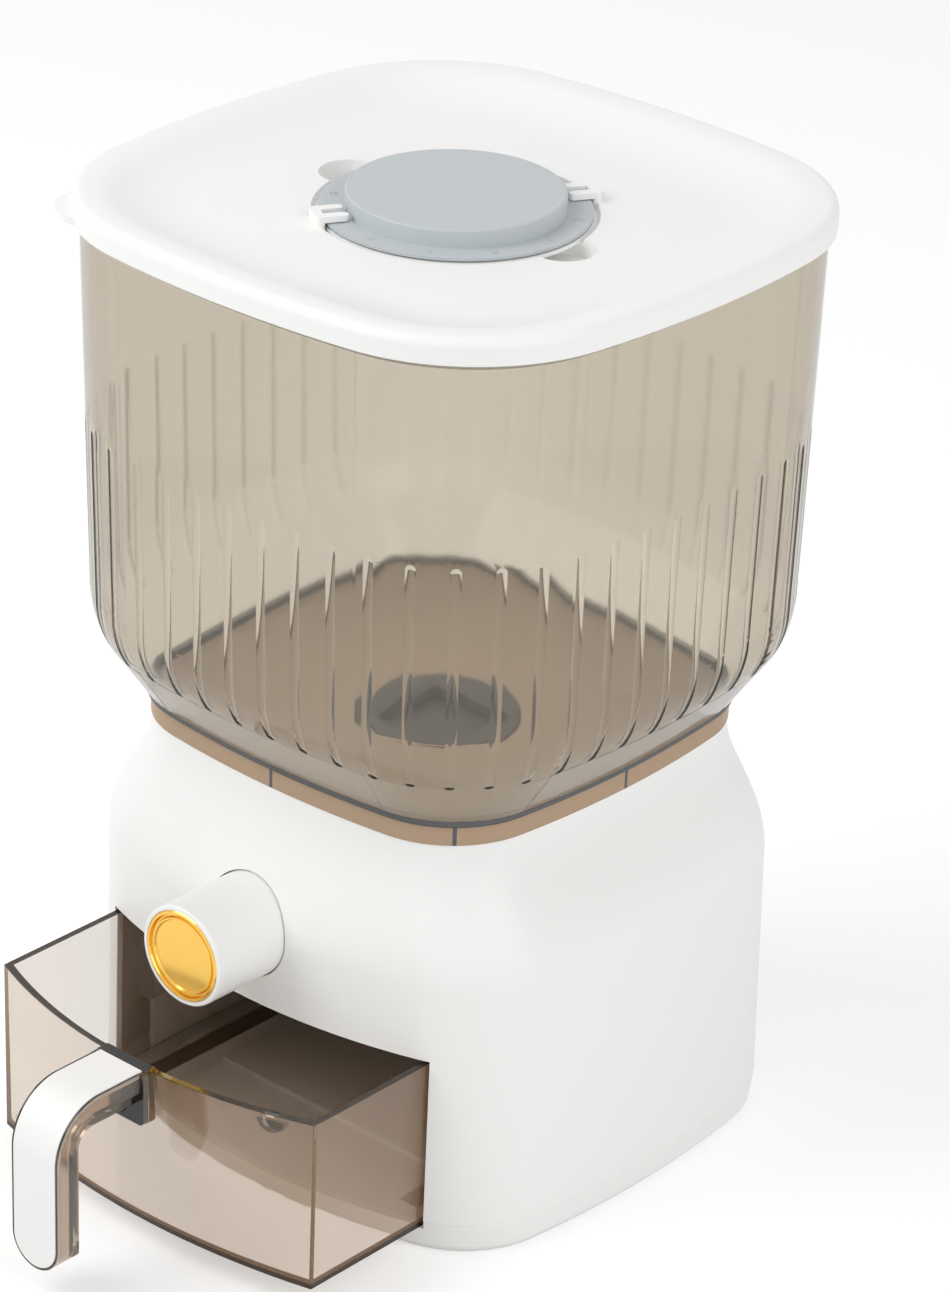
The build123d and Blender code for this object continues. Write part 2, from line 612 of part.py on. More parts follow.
with BuildPart() as outlet_throat:
    with BuildSketch(Plane.XY.offset(RAIL_TOP_Z)):
        Circle(THROAT_R)
    extrude(amount=THROAT_TOP_Z - RAIL_TOP_Z)
    with BuildSketch(Plane.XY.offset(GATE_Z + GATE_T + 0.2)):
        RectangleRounded(OUTLET + 4, OUTLET + 4, 6)
    extrude(amount=3)
    with BuildSketch(Plane.XY.offset(GATE_Z)):
        RectangleRounded(OUTLET, OUTLET, 4)
    extrude(amount=10, mode=Mode.SUBTRACT)
    with BuildSketch(Plane.XY.offset(THROAT_TOP_Z)):
        RectangleRounded(OUTLET + 5, OUTLET + 5, 6.5)
    with BuildSketch(Plane.XY.offset(THROAT_TOP_Z - 1.8)):
        RectangleRounded(OUTLET, OUTLET, 4)
    loft(ruled=True, mode=Mode.SUBTRACT)
outlet_throat.part.label = "outlet_throat"
export_step(outlet_throat.part, "parts/outlet_throat.step")

with BuildPart() as outlet_chute:
    with BuildSketch(Plane.XY.offset(DECK_Z + DECK_T)):
        with Locations((0, DECK_SCREW_MID)):
            RectangleRounded(FLANGE_X, FLANGE_Y, 4)
    extrude(amount=GUIDE_Z - DECK_Z - DECK_T)
    with BuildSketch(Plane.XY.offset(CHUTE_LOW_Z)):
        RectangleRounded(2 * (CHUTE_HALF + CHUTE_T), 2 * (CHUTE_HALF + CHUTE_T), 4)
    extrude(amount=GUIDE_Z - CHUTE_LOW_Z)
    with BuildSketch(Plane.XY.offset(CHUTE_LOW_Z)):
        RectangleRounded(2 * CHUTE_HALF, 2 * CHUTE_HALF, 2.5)
    extrude(amount=GUIDE_Z - CHUTE_LOW_Z, mode=Mode.SUBTRACT)
    with BuildSketch(Plane.XY.offset(DECK_Z + DECK_T)):
        with Locations(*DECK_SCREWS):
            Circle(DECK_SCREW_R + 0.2)
    extrude(amount=GUIDE_Z - DECK_Z - DECK_T, mode=Mode.SUBTRACT)
outlet_chute.part.label = "outlet_chute"
export_step(outlet_chute.part, "parts/outlet_chute.step")

with BuildPart() as gate_guide:
    with BuildSketch(Plane.XY.offset(GUIDE_Z)):
        with Locations((0, DECK_SCREW_MID)):
            RectangleRounded(FLANGE_X, FLANGE_Y, 4)
        with Locations((0, (GUIDE_FRONT_Y + GUIDE_BACK_Y) / 2)):
            Rectangle(2 * (RAIL_IN + RAIL_T), GUIDE_BACK_Y - GUIDE_FRONT_Y)
        RectangleRounded(2 * CHUTE_HALF, 2 * CHUTE_HALF, 2.5, mode=Mode.SUBTRACT)
        with Locations((0, (GUIDE_FRONT_Y + 3 + FLANGE_FRONT_Y) / 2)):
            Rectangle(14, FLANGE_FRONT_Y - GUIDE_FRONT_Y - 3, mode=Mode.SUBTRACT)
    extrude(amount=GATE_Z - GUIDE_Z)
    with BuildSketch(Plane.XY.offset(GATE_Z)):
        for sx in (-1, 1):
            with Locations((sx * (RAIL_IN + RAIL_T / 2), (GUIDE_FRONT_Y + GUIDE_BACK_Y) / 2)):
                Rectangle(RAIL_T, GUIDE_BACK_Y - GUIDE_FRONT_Y)
        with Locations((0, GUIDE_BACK_Y - 1.5)):
            Rectangle(2 * (RAIL_IN + RAIL_T), 3)
    extrude(amount=RAIL_TOP_Z - GATE_Z)
    # lips that keep the shutter down in front of and behind the throat
    with BuildSketch(Plane.XY.offset(GATE_Z + GATE_T + GAP)):
        for sx in (-1, 1):
            with Locations((sx * (RAIL_IN - 0.5), GUIDE_FRONT_Y + 19), (sx * (RAIL_IN - 0.5), GUIDE_BACK_Y - 13)):
                Rectangle(3, 26)
    extrude(amount=RAIL_TOP_Z - GATE_Z - GATE_T - GAP)
    with BuildSketch(Plane.XY.offset(GUIDE_Z)):
        with Locations(*DECK_SCREWS):
            Circle(DECK_SCREW_R + 0.2)
    extrude(amount=GATE_Z - GUIDE_Z, mode=Mode.SUBTRACT)
gate_guide.part.label = "gate_guide"
export_step(gate_guide.part, "parts/gate_guide.step")

with BuildPart() as shutter_gate:
    with BuildSketch(Plane.XY.offset(GATE_Z)):
        with Locations((0, (GATE_FRONT_Y + GATE_BACK_Y) / 2)):
            Rectangle(2 * GATE_HALF_W, GATE_BACK_Y - GATE_FRONT_Y)
        with Locations((0, (GATE_HOLE_FRONT + GATE_HOLE_REAR) / 2)):
            RectangleRounded(OUTLET, GATE_HOLE_REAR - GATE_HOLE_FRONT, 3, mode=Mode.SUBTRACT)
        with Locations((0, ARM_Y + ARM_T / 2)):
            Rectangle(10.2, ARM_T + 0.2, mode=Mode.SUBTRACT)
    extrude(amount=GATE_T)
shutter_gate.part.label = "shutter_gate"
export_step(shutter_gate.part, "parts/shutter_gate.step")

# Button and its linkage. These sketches look along -Y, so each plane's offset is minus y.

with BuildPart() as button_barrel:
    with BuildSketch(Plane.XZ.offset(-BTN_REAR_Y)):
        with Locations((0, BTN_Z)):
            Circle(BTN_R)
    extrude(amount=BTN_REAR_Y - BTN_FRONT_Y)
    fillet(button_barrel.faces().sort_by(Axis.Y)[0].edges(), radius=0.7)
    with BuildSketch(Plane.XZ.offset(-BTN_REAR_Y)):
        with Locations((0, BTN_Z)):
            Circle(BTN_R - BTN_WALL)
    extrude(amount=BTN_REAR_Y - WEB_Y, mode=Mode.SUBTRACT)
    with BuildSketch(Plane.XZ.offset(-BTN_FRONT_Y)):
        with Locations((0, BTN_Z)):
            Circle(BTN_R - BTN_WALL + 0.9)
    extrude(amount=-2.5, mode=Mode.SUBTRACT)
    # socket for the rod
    with BuildSketch(Plane.XZ.offset(-WEB_Y - 8)):
        with Locations((0, BTN_Z)):
            Circle(6.2)
            Circle(ROD_R + 0.05, mode=Mode.SUBTRACT)
    extrude(amount=8)
button_barrel.part.label = "button_barrel"
export_step(button_barrel.part, "parts/button_barrel.step")

CAP_EDGE = BTN_R - BTN_WALL + 0.8
with BuildPart() as button_cap:
    with BuildSketch(Plane.YZ):
        with BuildLine():
            Polyline(
                (BTN_FRONT_Y + 2.5, BTN_Z),
                (BTN_FRONT_Y + 0.7, BTN_Z),
                (BTN_FRONT_Y + 0.7, BTN_Z + CAP_EDGE - 3.6),
                (BTN_FRONT_Y, BTN_Z + CAP_EDGE - 3.2),
                (BTN_FRONT_Y, BTN_Z + CAP_EDGE - 2.6),
                (BTN_FRONT_Y + 0.9, BTN_Z + CAP_EDGE - 2.1),
                (BTN_FRONT_Y + 0.9, BTN_Z + CAP_EDGE - 1.7),
                (BTN_FRONT_Y - 0.3, BTN_Z + CAP_EDGE - 1.2),
                (BTN_FRONT_Y - 0.3, BTN_Z + CAP_EDGE - 0.4),
                (BTN_FRONT_Y + 0.1, BTN_Z + CAP_EDGE),
                (BTN_FRONT_Y + 2.5, BTN_Z + CAP_EDGE),
                close=True,
            )
        make_face()
    revolve(axis=Axis((0, 0, BTN_Z), (0, 1, 0)))
button_cap.part.label = "button_cap"
export_step(button_cap.part, "parts/button_cap.step")

RING_Y = SEAT_Y + 7.45
with BuildPart() as push_rod:
    with BuildSketch(Plane.XZ.offset(-ARM_Y - 1)):
        with Locations((0, BTN_Z)):
            Circle(ROD_R)
    extrude(amount=ARM_Y + 1 - WEB_Y)
    with BuildSketch(Plane.XY.offset(BTN_Z - 6)):
        with Locations((0, ARM_Y + ARM_T / 2)):
            Rectangle(10, ARM_T)
    extrude(amount=GATE_Z + GATE_T + 1.2 - BTN_Z + 6)
    # groove for the retaining ring
    with BuildSketch(Plane.XZ.offset(-RING_Y - 1.2)):
        with Locations((0, BTN_Z)):
            Circle(ROD_R + 2)
            Circle(3.2, mode=Mode.SUBTRACT)
    extrude(amount=1.2, mode=Mode.SUBTRACT)
push_rod.part.label = "push_rod"
export_step(push_rod.part, "parts/push_rod.step")

with BuildPart() as retaining_ring:
    with BuildSketch(Plane.XZ.offset(-RING_Y - 1.1)):
        with Locations((0, BTN_Z)):
            Circle(7)
            Circle(3.3, mode=Mode.SUBTRACT)
            with Locations((0, -5)):
                Rectangle(3.6, 8, mode=Mode.SUBTRACT)
    extrude(amount=1.0)
retaining_ring.part.label = "retaining_ring"
export_step(retaining_ring.part, "parts/retaining_ring.step")

with BuildPart() as rod_bush:
    with BuildSketch(Plane.XZ.offset(-SEAT_Y - 2)):
        with Locations((0, BTN_Z)):
            Circle(BTN_R - BTN_WALL - 2.4)
    extrude(amount=2)
    with BuildSketch(Plane.XZ.offset(-SEAT_Y - 7.4)):
        with Locations((0, BTN_Z)):
            Circle(BUSH_R)
    extrude(amount=6)
    with BuildSketch(Plane.XZ.offset(-SEAT_Y - 10)):
        with Locations((0, BTN_Z)):
            Circle(ROD_R + FIT)
    extrude(amount=12, mode=Mode.SUBTRACT)
rod_bush.part.label = "rod_bush"
export_step(rod_bush.part, "parts/rod_bush.step")

with BuildPart() as button_guide:
    with BuildSketch(Plane.XZ.offset(-SEAT_Y - 4.5)):
        with Locations((0, BTN_Z)):
            Circle(RING_R)
    extrude(amount=SEAT_Y + 4.5 + BASE_HY - 12.8)
    # foot that hangs the guide from the deck
    with BuildSketch(Plane.XY.offset(BTN_Z + RING_R - 5.4)):
        with Locations((0, HANGER_Y)):
            Rectangle(3, 18)
            Rectangle(15, 3)
    extrude(amount=DECK_Z - BTN_Z - RING_R + 4.4)
    with BuildSketch(Plane.XY.offset(DECK_Z - 2)):
        with Locations((0, HANGER_Y)):
            Rectangle(2 * HANGER_X + 9, 18)
    extrude(amount=2)
    with BuildSketch(Plane.XZ.offset(-SEAT_Y - 2)):
        with Locations((0, BTN_Z)):
            Circle(BTN_R + FIT)
    extrude(amount=40, mode=Mode.SUBTRACT)
    with BuildSketch(Plane.XZ.offset(-SEAT_Y - 6)):
        with Locations((0, BTN_Z)):
            Circle(BUSH_R + 0.05)
    extrude(amount=10, mode=Mode.SUBTRACT)
    with BuildSketch(Plane.XY.offset(DECK_Z - 3)):
        with Locations(*HANGER_SCREWS):
            Circle(DECK_SCREW_R + 0.2)
    extrude(amount=3, mode=Mode.SUBTRACT)
button_guide.part.label = "button_guide"
export_step(button_guide.part, "parts/button_guide.step")

COIL_LOW = WEB_Y + WIRE_R + 0.1
COIL_HIGH = SEAT_Y - WIRE_R - 0.1
COIL_PITCH = (COIL_HIGH - COIL_LOW) / COIL_TURNS
with BuildPart() as return_spring:
    with BuildLine() as coil:
        Helix(pitch=COIL_PITCH, height=COIL_HIGH - COIL_LOW, radius=COIL_R, center=(0, COIL_LOW, BTN_Z), direction=(0, 1, 0))
    with BuildSketch(Plane(origin=coil.line @ 0, z_dir=coil.line % 0)):
        Circle(WIRE_R)
    sweep(path=coil.line, is_frenet=True)
return_spring.part.label = "return_spring"
export_step(return_spring.part, "parts/return_spring.step")

with BuildPart() as deck_screws:
    with BuildSketch(Plane.XY.offset(GATE_Z)):
        with Locations(*DECK_SCREWS):
            Circle(2.6)
    extrude(amount=1.8)
    with BuildSketch(Plane.XY.offset(GATE_Z - 9)):
        with Locations(*DECK_SCREWS):
            Circle(DECK_SCREW_R)
    extrude(amount=9)
    with BuildSketch(Plane.XY.offset(DECK_Z - 3.8)):
        with Locations(*HANGER_SCREWS):
            Circle(2.6)
    extrude(amount=1.8)
    with BuildSketch(Plane.XY.offset(DECK_Z - 2)):
        with Locations(*HANGER_SCREWS):
            Circle(DECK_SCREW_R)
    extrude(amount=7)
deck_screws.part.label = "deck_screws"
export_step(deck_screws.part, "parts/deck_screws.step")

coil_points = []
for n in range(COIL_TURNS * 24 + 1):
    turn = 2 * pi * n / 24
    coil_points.append((COIL_R * cos(turn), COIL_PITCH * n / 24, COIL_R * sin(turn)))
least = min(
    sqrt(sum((p - q) ** 2 for p, q in zip(coil_points[i], coil_points[j])))
    for i in range(len(coil_points))
    for j in range(i + 12, len(coil_points))
)
print("return_spring least gap to itself", round(least - 2 * WIRE_R, 2), "mm")

# Drawer

def drawer_outline(inset, mid_y, half, back_y, corner_r):
    """Drawer plan: curved front, straight sides, rounded back corners."""
    h = half - inset
    fy = DRW_CORNER_Y + inset
    by = back_y - inset
    r = corner_r
    k = r * (1 - sqrt(0.5))
    with BuildLine() as plan:
        ThreePointArc((-h, fy), (0, mid_y + inset), (h, fy))
        Line((h, fy), (h, by - r))
        ThreePointArc((h, by - r), (h - k, by - k), (h - r, by))
        Line((h - r, by), (r - h, by))
        ThreePointArc((r - h, by), (k - h, by - k), (-h, by - r))
        Line((-h, by - r), (-h, fy))
    make_face(plan.edges())


with BuildPart() as drawer_bin:
    with BuildSketch(Plane.XY.offset(DRW_Z)):
        drawer_outline(0, DRW_LOW_MID_Y, DRW_HALF - 0.4, DRW_BACK_Y, 6.0)
    with BuildSketch(Plane.XY.offset(RIM_Z)):
        drawer_outline(0, DRW_MID_Y, DRW_HALF, DRW_BACK_Y, 6.0)
    loft(ruled=True)
    with BuildSketch(Plane.XY.offset(DRW_Z + DRW_T + 0.4)):
        drawer_outline(DRW_T, DRW_LOW_MID_Y, DRW_HALF - 0.4, DRW_BACK_Y, 4.0)
    with BuildSketch(Plane.XY.offset(RIM_Z + 0.01)):
        drawer_outline(DRW_T, DRW_MID_Y, DRW_HALF, DRW_BACK_Y, 4.0)
    loft(ruled=True, mode=Mode.SUBTRACT)
    # flat pad that the handle seats on
    with BuildSketch(Plane.XZ.offset(-HND_ROOT_Y)):
        with Locations((0, HND_ROOT_Z)):
            RectangleRounded(2 * HND_HALF + 4, 19.6, 2)
    extrude(amount=-4.6)
    # half-round fill mark inside the front
    with BuildSketch(Plane.XZ.offset(-DRW_CORNER_Y + 1.6)):
        with Locations((MARK_X, RIM_Z - 2.2)):
            Circle(MARK_R)
            with Locations((0, MARK_R)):
                Rectangle(2 * MARK_R, 2 * MARK_R, mode=Mode.SUBTRACT)
    extrude(amount=2.2)
drawer_bin.part.label = "drawer_bin"
export_step(drawer_bin.part, "parts/drawer_bin.step")


def handle_band(d0, d1, half, end_drop, root_y):
    """Strip of the handle between depths d0 and d1 below its outer face, half wide each side."""
    z0 = RIM_Z - d0
    z1 = RIM_Z - d1
    y0 = HND_FACE_Y + d0
    y1 = HND_FACE_Y + d1
    bend = (HND_FACE_Y + HND_R, RIM_Z - HND_R)
    r0 = HND_R - d0
    r1 = HND_R - d1
    q = sqrt(0.5)
    with BuildSketch(Plane.YZ) as side:
        with BuildLine():
            Line((root_y, z0), (bend[0], z0))
            ThreePointArc((bend[0], z0), (bend[0] - r0 * q, bend[1] + r0 * q), (y0, bend[1]))
            Line((y0, bend[1]), (y0, end_drop))
            Line((y0, end_drop), (y1, end_drop))
            Line((y1, end_drop), (y1, bend[1]))
            ThreePointArc((y1, bend[1]), (bend[0] - r1 * q, bend[1] + r1 * q), (bend[0], z1))
            Line((bend[0], z1), (root_y, z1))
            Line((root_y, z1), (root_y, z0))
        make_face()
    extrude(side.sketch, amount=half, both=True)


def round_end(half, low_z, width):
    """Cut the lower end of an upright strip to a half round."""
    with BuildSketch(Plane.XZ.offset(-HND_FACE_Y + 5)) as waste:
        with Locations((0, low_z + half)):
            with Locations((0, -20)):
                Rectangle(width, 40)
            Circle(half, mode=Mode.SUBTRACT)
    extrude(waste.sketch, amount=-30, mode=Mode.SUBTRACT)


with BuildPart() as strap_pocket:
    handle_band(-1.0, STRAP_T, STRAP_HALF + 0.1, HND_END_Z + 0.9, HND_ROOT_Y + 1)
    round_end(STRAP_HALF + 0.1, HND_END_Z + 0.9, 60)

with BuildPart() as drawer_handle:
    handle_band(0, 7.0, HND_HALF, HND_END_Z, HND_ROOT_Y - 2.4)
    handle_band(6.9, 13.2, 7.0, HND_END_Z + 2.0, HND_ROOT_Y - 2.4)
    round_end(HND_HALF, HND_END_Z, 60)
    # root plate and the web that stiffens it
    with BuildSketch(Plane.XZ.offset(-HND_ROOT_Y)):
        with Locations((0, HND_ROOT_Z)):
            RectangleRounded(2 * HND_HALF + 3.6, 19.2, 2)
    extrude(amount=2.4)
    with BuildSketch(Plane.YZ):
        with BuildLine():
            Polyline(
                (HND_ROOT_Y - 1, HND_ROOT_Z - 3),
                (HND_ROOT_Y - 1, HND_ROOT_Z - 8.5),
                (HND_ROOT_Y - 14, HND_ROOT_Z - 3),
                close=True,
            )
        make_face()
    extrude(amount=3, both=True)
    add(strap_pocket.part, mode=Mode.SUBTRACT)
drawer_handle.part.label = "drawer_handle"
export_step(drawer_handle.part, "parts/drawer_handle.step")

with BuildPart() as handle_strap:
    handle_band(-0.25, STRAP_T, STRAP_HALF, HND_END_Z + 1.0, HND_ROOT_Y - 0.3)
    round_end(STRAP_HALF, HND_END_Z + 1.0, 60)
handle_strap.part.label = "handle_strap"
export_step(handle_strap.part, "parts/handle_strap.step")

# Lid

SIDE_IN = LID_HALF - LID_SIDE_T
DISH_OUT = LID_HALF - RIM_FLAT
DISH_BOWL_R = (DISH_RUN * DISH_RUN + DISH_DEPTH * DISH_DEPTH) / (2 * DISH_DEPTH) - DISH_LIP_R
DISH_TILT = atan2(DISH_RUN, DISH_LIP_R + DISH_BOWL_R - DISH_DEPTH)


def dish_points(inset):
    """Lid top line: the rim's inner edge, the lip arc, the bowl arc and the floor, drawn down by inset."""
    lip_r = DISH_LIP_R - inset
    bowl_r = DISH_BOWL_R + inset
    lip_c = (DISH_OUT, TOTAL_H - DISH_LIP_R)
    bowl_c = (DISH_OUT - DISH_RUN, LID_FLOOR_Z + DISH_BOWL_R)
    lip = [(lip_c[0] - lip_r * sin(t), lip_c[1] + lip_r * cos(t)) for t in (0, DISH_TILT / 2, DISH_TILT)]
    bowl = [(bowl_c[0] + bowl_r * sin(t), bowl_c[1] - bowl_r * cos(t)) for t in (DISH_TILT / 2, 0)]
    return lip + bowl


with BuildSketch() as lid_inside:
    outline(*square_at(LID_HALF - 0.9))

with BuildPart() as lid_shell:
    def lid_profile(shift):
        r = 3.4
        h = LID_HALF + shift
        k = r * (1 - sqrt(0.5))
        top = [(x + shift, z) for x, z in dish_points(0.0)]
        low = [(x + shift, z) for x, z in dish_points(LID_TOP_T)]
        Line((h - 0.3, LID_LOW_Z), (h, LID_LOW_Z + 0.3))
        Line((h, LID_LOW_Z + 0.3), (h, TOTAL_H - r))
        ThreePointArc((h, TOTAL_H - r), (h - k, TOTAL_H - k), (h - r, TOTAL_H))
        Line((h - r, TOTAL_H), top[0])
        ThreePointArc(top[0], top[1], top[2])
        ThreePointArc(top[2], top[3], top[4])
        Line(top[4], low[4])
        ThreePointArc(low[4], low[3], low[2])
        ThreePointArc(low[2], low[1], low[0])
        Polyline(low[0], (SIDE_IN + shift, TOTAL_H - LID_TOP_T), (SIDE_IN + shift, LID_LOW_Z), (h - 0.3, LID_LOW_Z))

    turn_wall(lid_profile)
    with BuildSketch(Plane.XY.offset(LID_FLOOR_Z - LID_TOP_T)):
        outline(*square_at(DISH_OUT - DISH_RUN + 0.01))
    extrude(amount=LID_TOP_T)
    # plug that enters the hopper, with a foot that holds the gasket
    turn_wall(closed_profile([
        (LID_BORE - 4.74, HOPPER_TOP_Z + 0.5),
        (LID_BORE - 2.64, HOPPER_TOP_Z + 0.5),
        (LID_BORE - 2.64, HOPPER_TOP_Z - 8.1),
        (LID_BORE - 1.14, HOPPER_TOP_Z - 8.1),
        (LID_BORE - 1.14, HOPPER_TOP_Z - 9.7),
        (LID_BORE - 4.74, HOPPER_TOP_Z - 9.7),
    ]))
    # well for the cup and dial, with a deeper finger pocket on each side
    with BuildSketch(Plane.XY.offset(RECESS_FLOOR_Z - WELL_T)):
        Circle(RECESS_R + WELL_T)
    extrude(amount=LID_FLOOR_Z - RECESS_FLOOR_Z + WELL_T)
    with BuildSketch(Plane.XY.offset(POCKET_FLOOR_Z - WELL_T)):
        with Locations((POCKET_X, 0), (-POCKET_X, 0)):
            Circle(POCKET_R + 0.5)
    extrude(amount=LID_FLOOR_Z - POCKET_FLOOR_Z + WELL_T)
    with BuildSketch(Plane.XY.offset(RECESS_FLOOR_Z)):
        Circle(RECESS_R - 0.6)
    with BuildSketch(Plane.XY.offset(LID_FLOOR_Z)):
        Circle(RECESS_R)
    loft(ruled=True, mode=Mode.SUBTRACT)
    for px in (POCKET_X, -POCKET_X):
        with BuildSketch(Plane.XY.offset(POCKET_FLOOR_Z)):
            with Locations((px, 0)):
                Circle(POCKET_R - 1.5)
        with BuildSketch(Plane.XY.offset(LID_FLOOR_Z)):
            with Locations((px, 0)):
                Circle(POCKET_R)
        loft(ruled=True, mode=Mode.SUBTRACT)
    with BuildSketch(Plane.XY.offset(POCKET_FLOOR_Z - WELL_T)):
        Circle(CUP_R + 0.4)
    extrude(amount=LID_FLOOR_Z - POCKET_FLOOR_Z + WELL_T, mode=Mode.SUBTRACT)
    # two pairs of pointer fingers over the dial's flange
    for turn in (CLIP_ANGLE, CLIP_ANGLE + 180):
        a = radians(turn)
        frame = Plane(origin=(0, 0, 0), x_dir=(cos(a), sin(a), 0), z_dir=(0, 0, 1))
        with BuildSketch(frame.offset(RECESS_FLOOR_Z - 0.2)):
            with Locations((RECESS_R - 0.2, 0)):
                RectangleRounded(3.0, CLIP_PITCH + CLIP_W, 1.2)
        extrude(amount=CLIP_TOP_Z - RECESS_FLOOR_Z + 0.2)
        with BuildSketch(frame.offset(CLIP_LOW_Z)):
            with Locations((RECESS_R - 4.6, CLIP_PITCH / 2), (RECESS_R - 4.6, -CLIP_PITCH / 2)):
                RectangleRounded(10.2, CLIP_W, 1.6)
        extrude(amount=CLIP_TOP_Z - CLIP_LOW_Z)
    # pull tab on the front left corner
    tab_at = (hypot(SQ_C, SQ_C) + NECK_CORNER_R + LID_HALF - NECK_HALF - TAB_SINK) * sqrt(0.5)
    with BuildSketch(Plane.XY.offset(LID_LOW_Z)):
        with Locations((-tab_at, -tab_at)):
            Circle(TAB_R)
        add(lid_inside.sketch, mode=Mode.SUBTRACT)
    extrude(amount=2.4)
lid_shell.part.label = "lid_shell"
export_step(lid_shell.part, "parts/lid_shell.step")

with BuildPart() as lid_gasket:
    turn_wall(closed_profile([
        (LID_BORE - 2.49, HOPPER_TOP_Z - 8.1),
        (LID_BORE - 1.14, HOPPER_TOP_Z - 8.1),
        (LID_BORE - 0.34, HOPPER_TOP_Z - 7.2),
        (LID_BORE - 0.94, HOPPER_TOP_Z - 6.5),
        (LID_BORE - 0.94, HOPPER_TOP_Z - 5.7),
        (LID_BORE - 0.34, HOPPER_TOP_Z - 5.0),
        (LID_BORE - 0.94, HOPPER_TOP_Z - 4.3),
        (LID_BORE - 2.49, HOPPER_TOP_Z - 4.3),
    ]))
lid_gasket.part.label = "lid_gasket"
export_step(lid_gasket.part, "parts/lid_gasket.step")

CUP_LOW_Z = RECESS_FLOOR_Z - CUP_DEPTH
with BuildPart() as drying_cup:
    with BuildSketch(Plane.XY.offset(RECESS_FLOOR_Z)):
        Circle(CUP_RIM_R)
    extrude(amount=CUP_RIM_Z - RECESS_FLOOR_Z)
    with BuildSketch(Plane.XY.offset(CUP_LOW_Z)):
        Circle(CUP_R)
    extrude(amount=CUP_DEPTH)
    with BuildSketch(Plane.XY.offset(CUP_LOW_Z + CUP_T)):
        Circle(CUP_R - CUP_T)
    extrude(amount=CUP_DEPTH + 2, mode=Mode.SUBTRACT)
    with BuildSketch(Plane.XY.offset(CUP_LOW_Z + 5)):
        with PolarLocations(CUP_R, 20):
            Rectangle(6, 2.4)
    extrude(amount=16, mode=Mode.SUBTRACT)
    with BuildSketch(Plane.XY.offset(CUP_LOW_Z - 1)):
        with PolarLocations(CUP_R - 11.2, 12):
            SlotOverall(12, 2.4)
    extrude(amount=CUP_T + 2, mode=Mode.SUBTRACT)
drying_cup.part.label = "drying_cup"
export_step(drying_cup.part, "parts/drying_cup.step")

with BuildPart() as dial_seal:
    with BuildSketch(Plane.XY.offset(CUP_RIM_Z + 0.2)):
        Circle(CUP_R + 3.4)
        Circle(CUP_R + 0.6, mode=Mode.SUBTRACT)
    extrude(amount=DIAL_Z - CUP_RIM_Z - 0.2)
dial_seal.part.label = "dial_seal"
export_step(dial_seal.part, "parts/dial_seal.step")

with BuildPart() as date_dial:
    with BuildSketch(Plane.XY.offset(DIAL_Z)):
        Circle(CAP_FLANGE_R)
    extrude(amount=DIAL_T)
    # rim that the dial turns on
    with BuildSketch(Plane.XY.offset(CUP_RIM_Z)):
        Circle(CUP_R + 5.8)
        Circle(CUP_R + 4.0, mode=Mode.SUBTRACT)
    extrude(amount=DIAL_Z - CUP_RIM_Z + 0.2)
    with BuildSketch(Plane.XY.offset(DIAL_Z + DIAL_T / 2)):
        Circle(CAP_R)
    extrude(amount=CAP_TOP_Z - DIAL_Z - DIAL_T / 2)
    fillet(date_dial.faces().sort_by(Axis.Z)[-1].edges(), radius=0.7)
    # plug ring that enters the cup, and the hollow inside it
    with BuildSketch(Plane.XY.offset(DIAL_Z - 6.0)):
        Circle(CUP_R - CUP_T - 0.4)
    extrude(amount=7)
    with BuildSketch(Plane.XY.offset(DIAL_Z - 6.5)):
        Circle(CUP_R - CUP_T - 2.4)
    extrude(amount=CAP_TOP_Z - 2.0 - DIAL_Z + 6.5, mode=Mode.SUBTRACT)
date_dial.part.label = "date_dial"
export_step(date_dial.part, "parts/date_dial.step")
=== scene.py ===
"""Rice dispenser: finishes, dial figures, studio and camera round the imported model."""

from math import cos, pi, radians, sin

import bpy
from mathutils import Matrix, Vector


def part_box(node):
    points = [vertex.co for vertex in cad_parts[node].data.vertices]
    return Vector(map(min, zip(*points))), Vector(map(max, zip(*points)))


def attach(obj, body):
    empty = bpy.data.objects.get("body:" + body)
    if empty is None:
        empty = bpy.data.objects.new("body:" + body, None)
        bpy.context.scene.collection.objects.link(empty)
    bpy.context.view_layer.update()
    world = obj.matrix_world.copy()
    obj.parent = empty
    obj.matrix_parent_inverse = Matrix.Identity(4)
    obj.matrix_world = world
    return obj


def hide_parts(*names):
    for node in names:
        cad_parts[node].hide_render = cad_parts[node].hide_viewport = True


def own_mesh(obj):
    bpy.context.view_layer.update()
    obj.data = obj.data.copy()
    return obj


bl_info = {
    "name": "Rice Dispenser Looks",
    "version": (1, 0, 0),
    "blender": (4, 5, 0),
    "location": "3D View > Sidebar > Dispenser",
    "description": "Finishes, small details, studio and camera for a rice dispenser",
    "category": "Object",
}

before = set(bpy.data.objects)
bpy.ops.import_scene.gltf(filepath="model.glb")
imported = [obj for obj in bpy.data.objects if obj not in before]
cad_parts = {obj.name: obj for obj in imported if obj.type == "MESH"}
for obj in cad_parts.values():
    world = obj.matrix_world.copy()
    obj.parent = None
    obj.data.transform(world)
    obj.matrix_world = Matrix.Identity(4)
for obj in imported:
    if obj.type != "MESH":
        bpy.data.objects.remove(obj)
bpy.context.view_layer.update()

WHITE_NODES = (
    "base_shell",
    "base_plate",
    "drawer_rails",
    "outlet_chute",
    "button_guide",
    "button_barrel",
    "handle_strap",
    "lid_shell",
    "drying_cup",
)
OUTLET_NODES = ("outlet_throat", "gate_guide", "shutter_gate")
DARK_NODES = ("push_rod", "rod_bush")
STEEL_NODES = ("plate_screws", "deck_screws", "retaining_ring")
RUBBER_NODES = ("feet", "lid_gasket", "dial_seal")

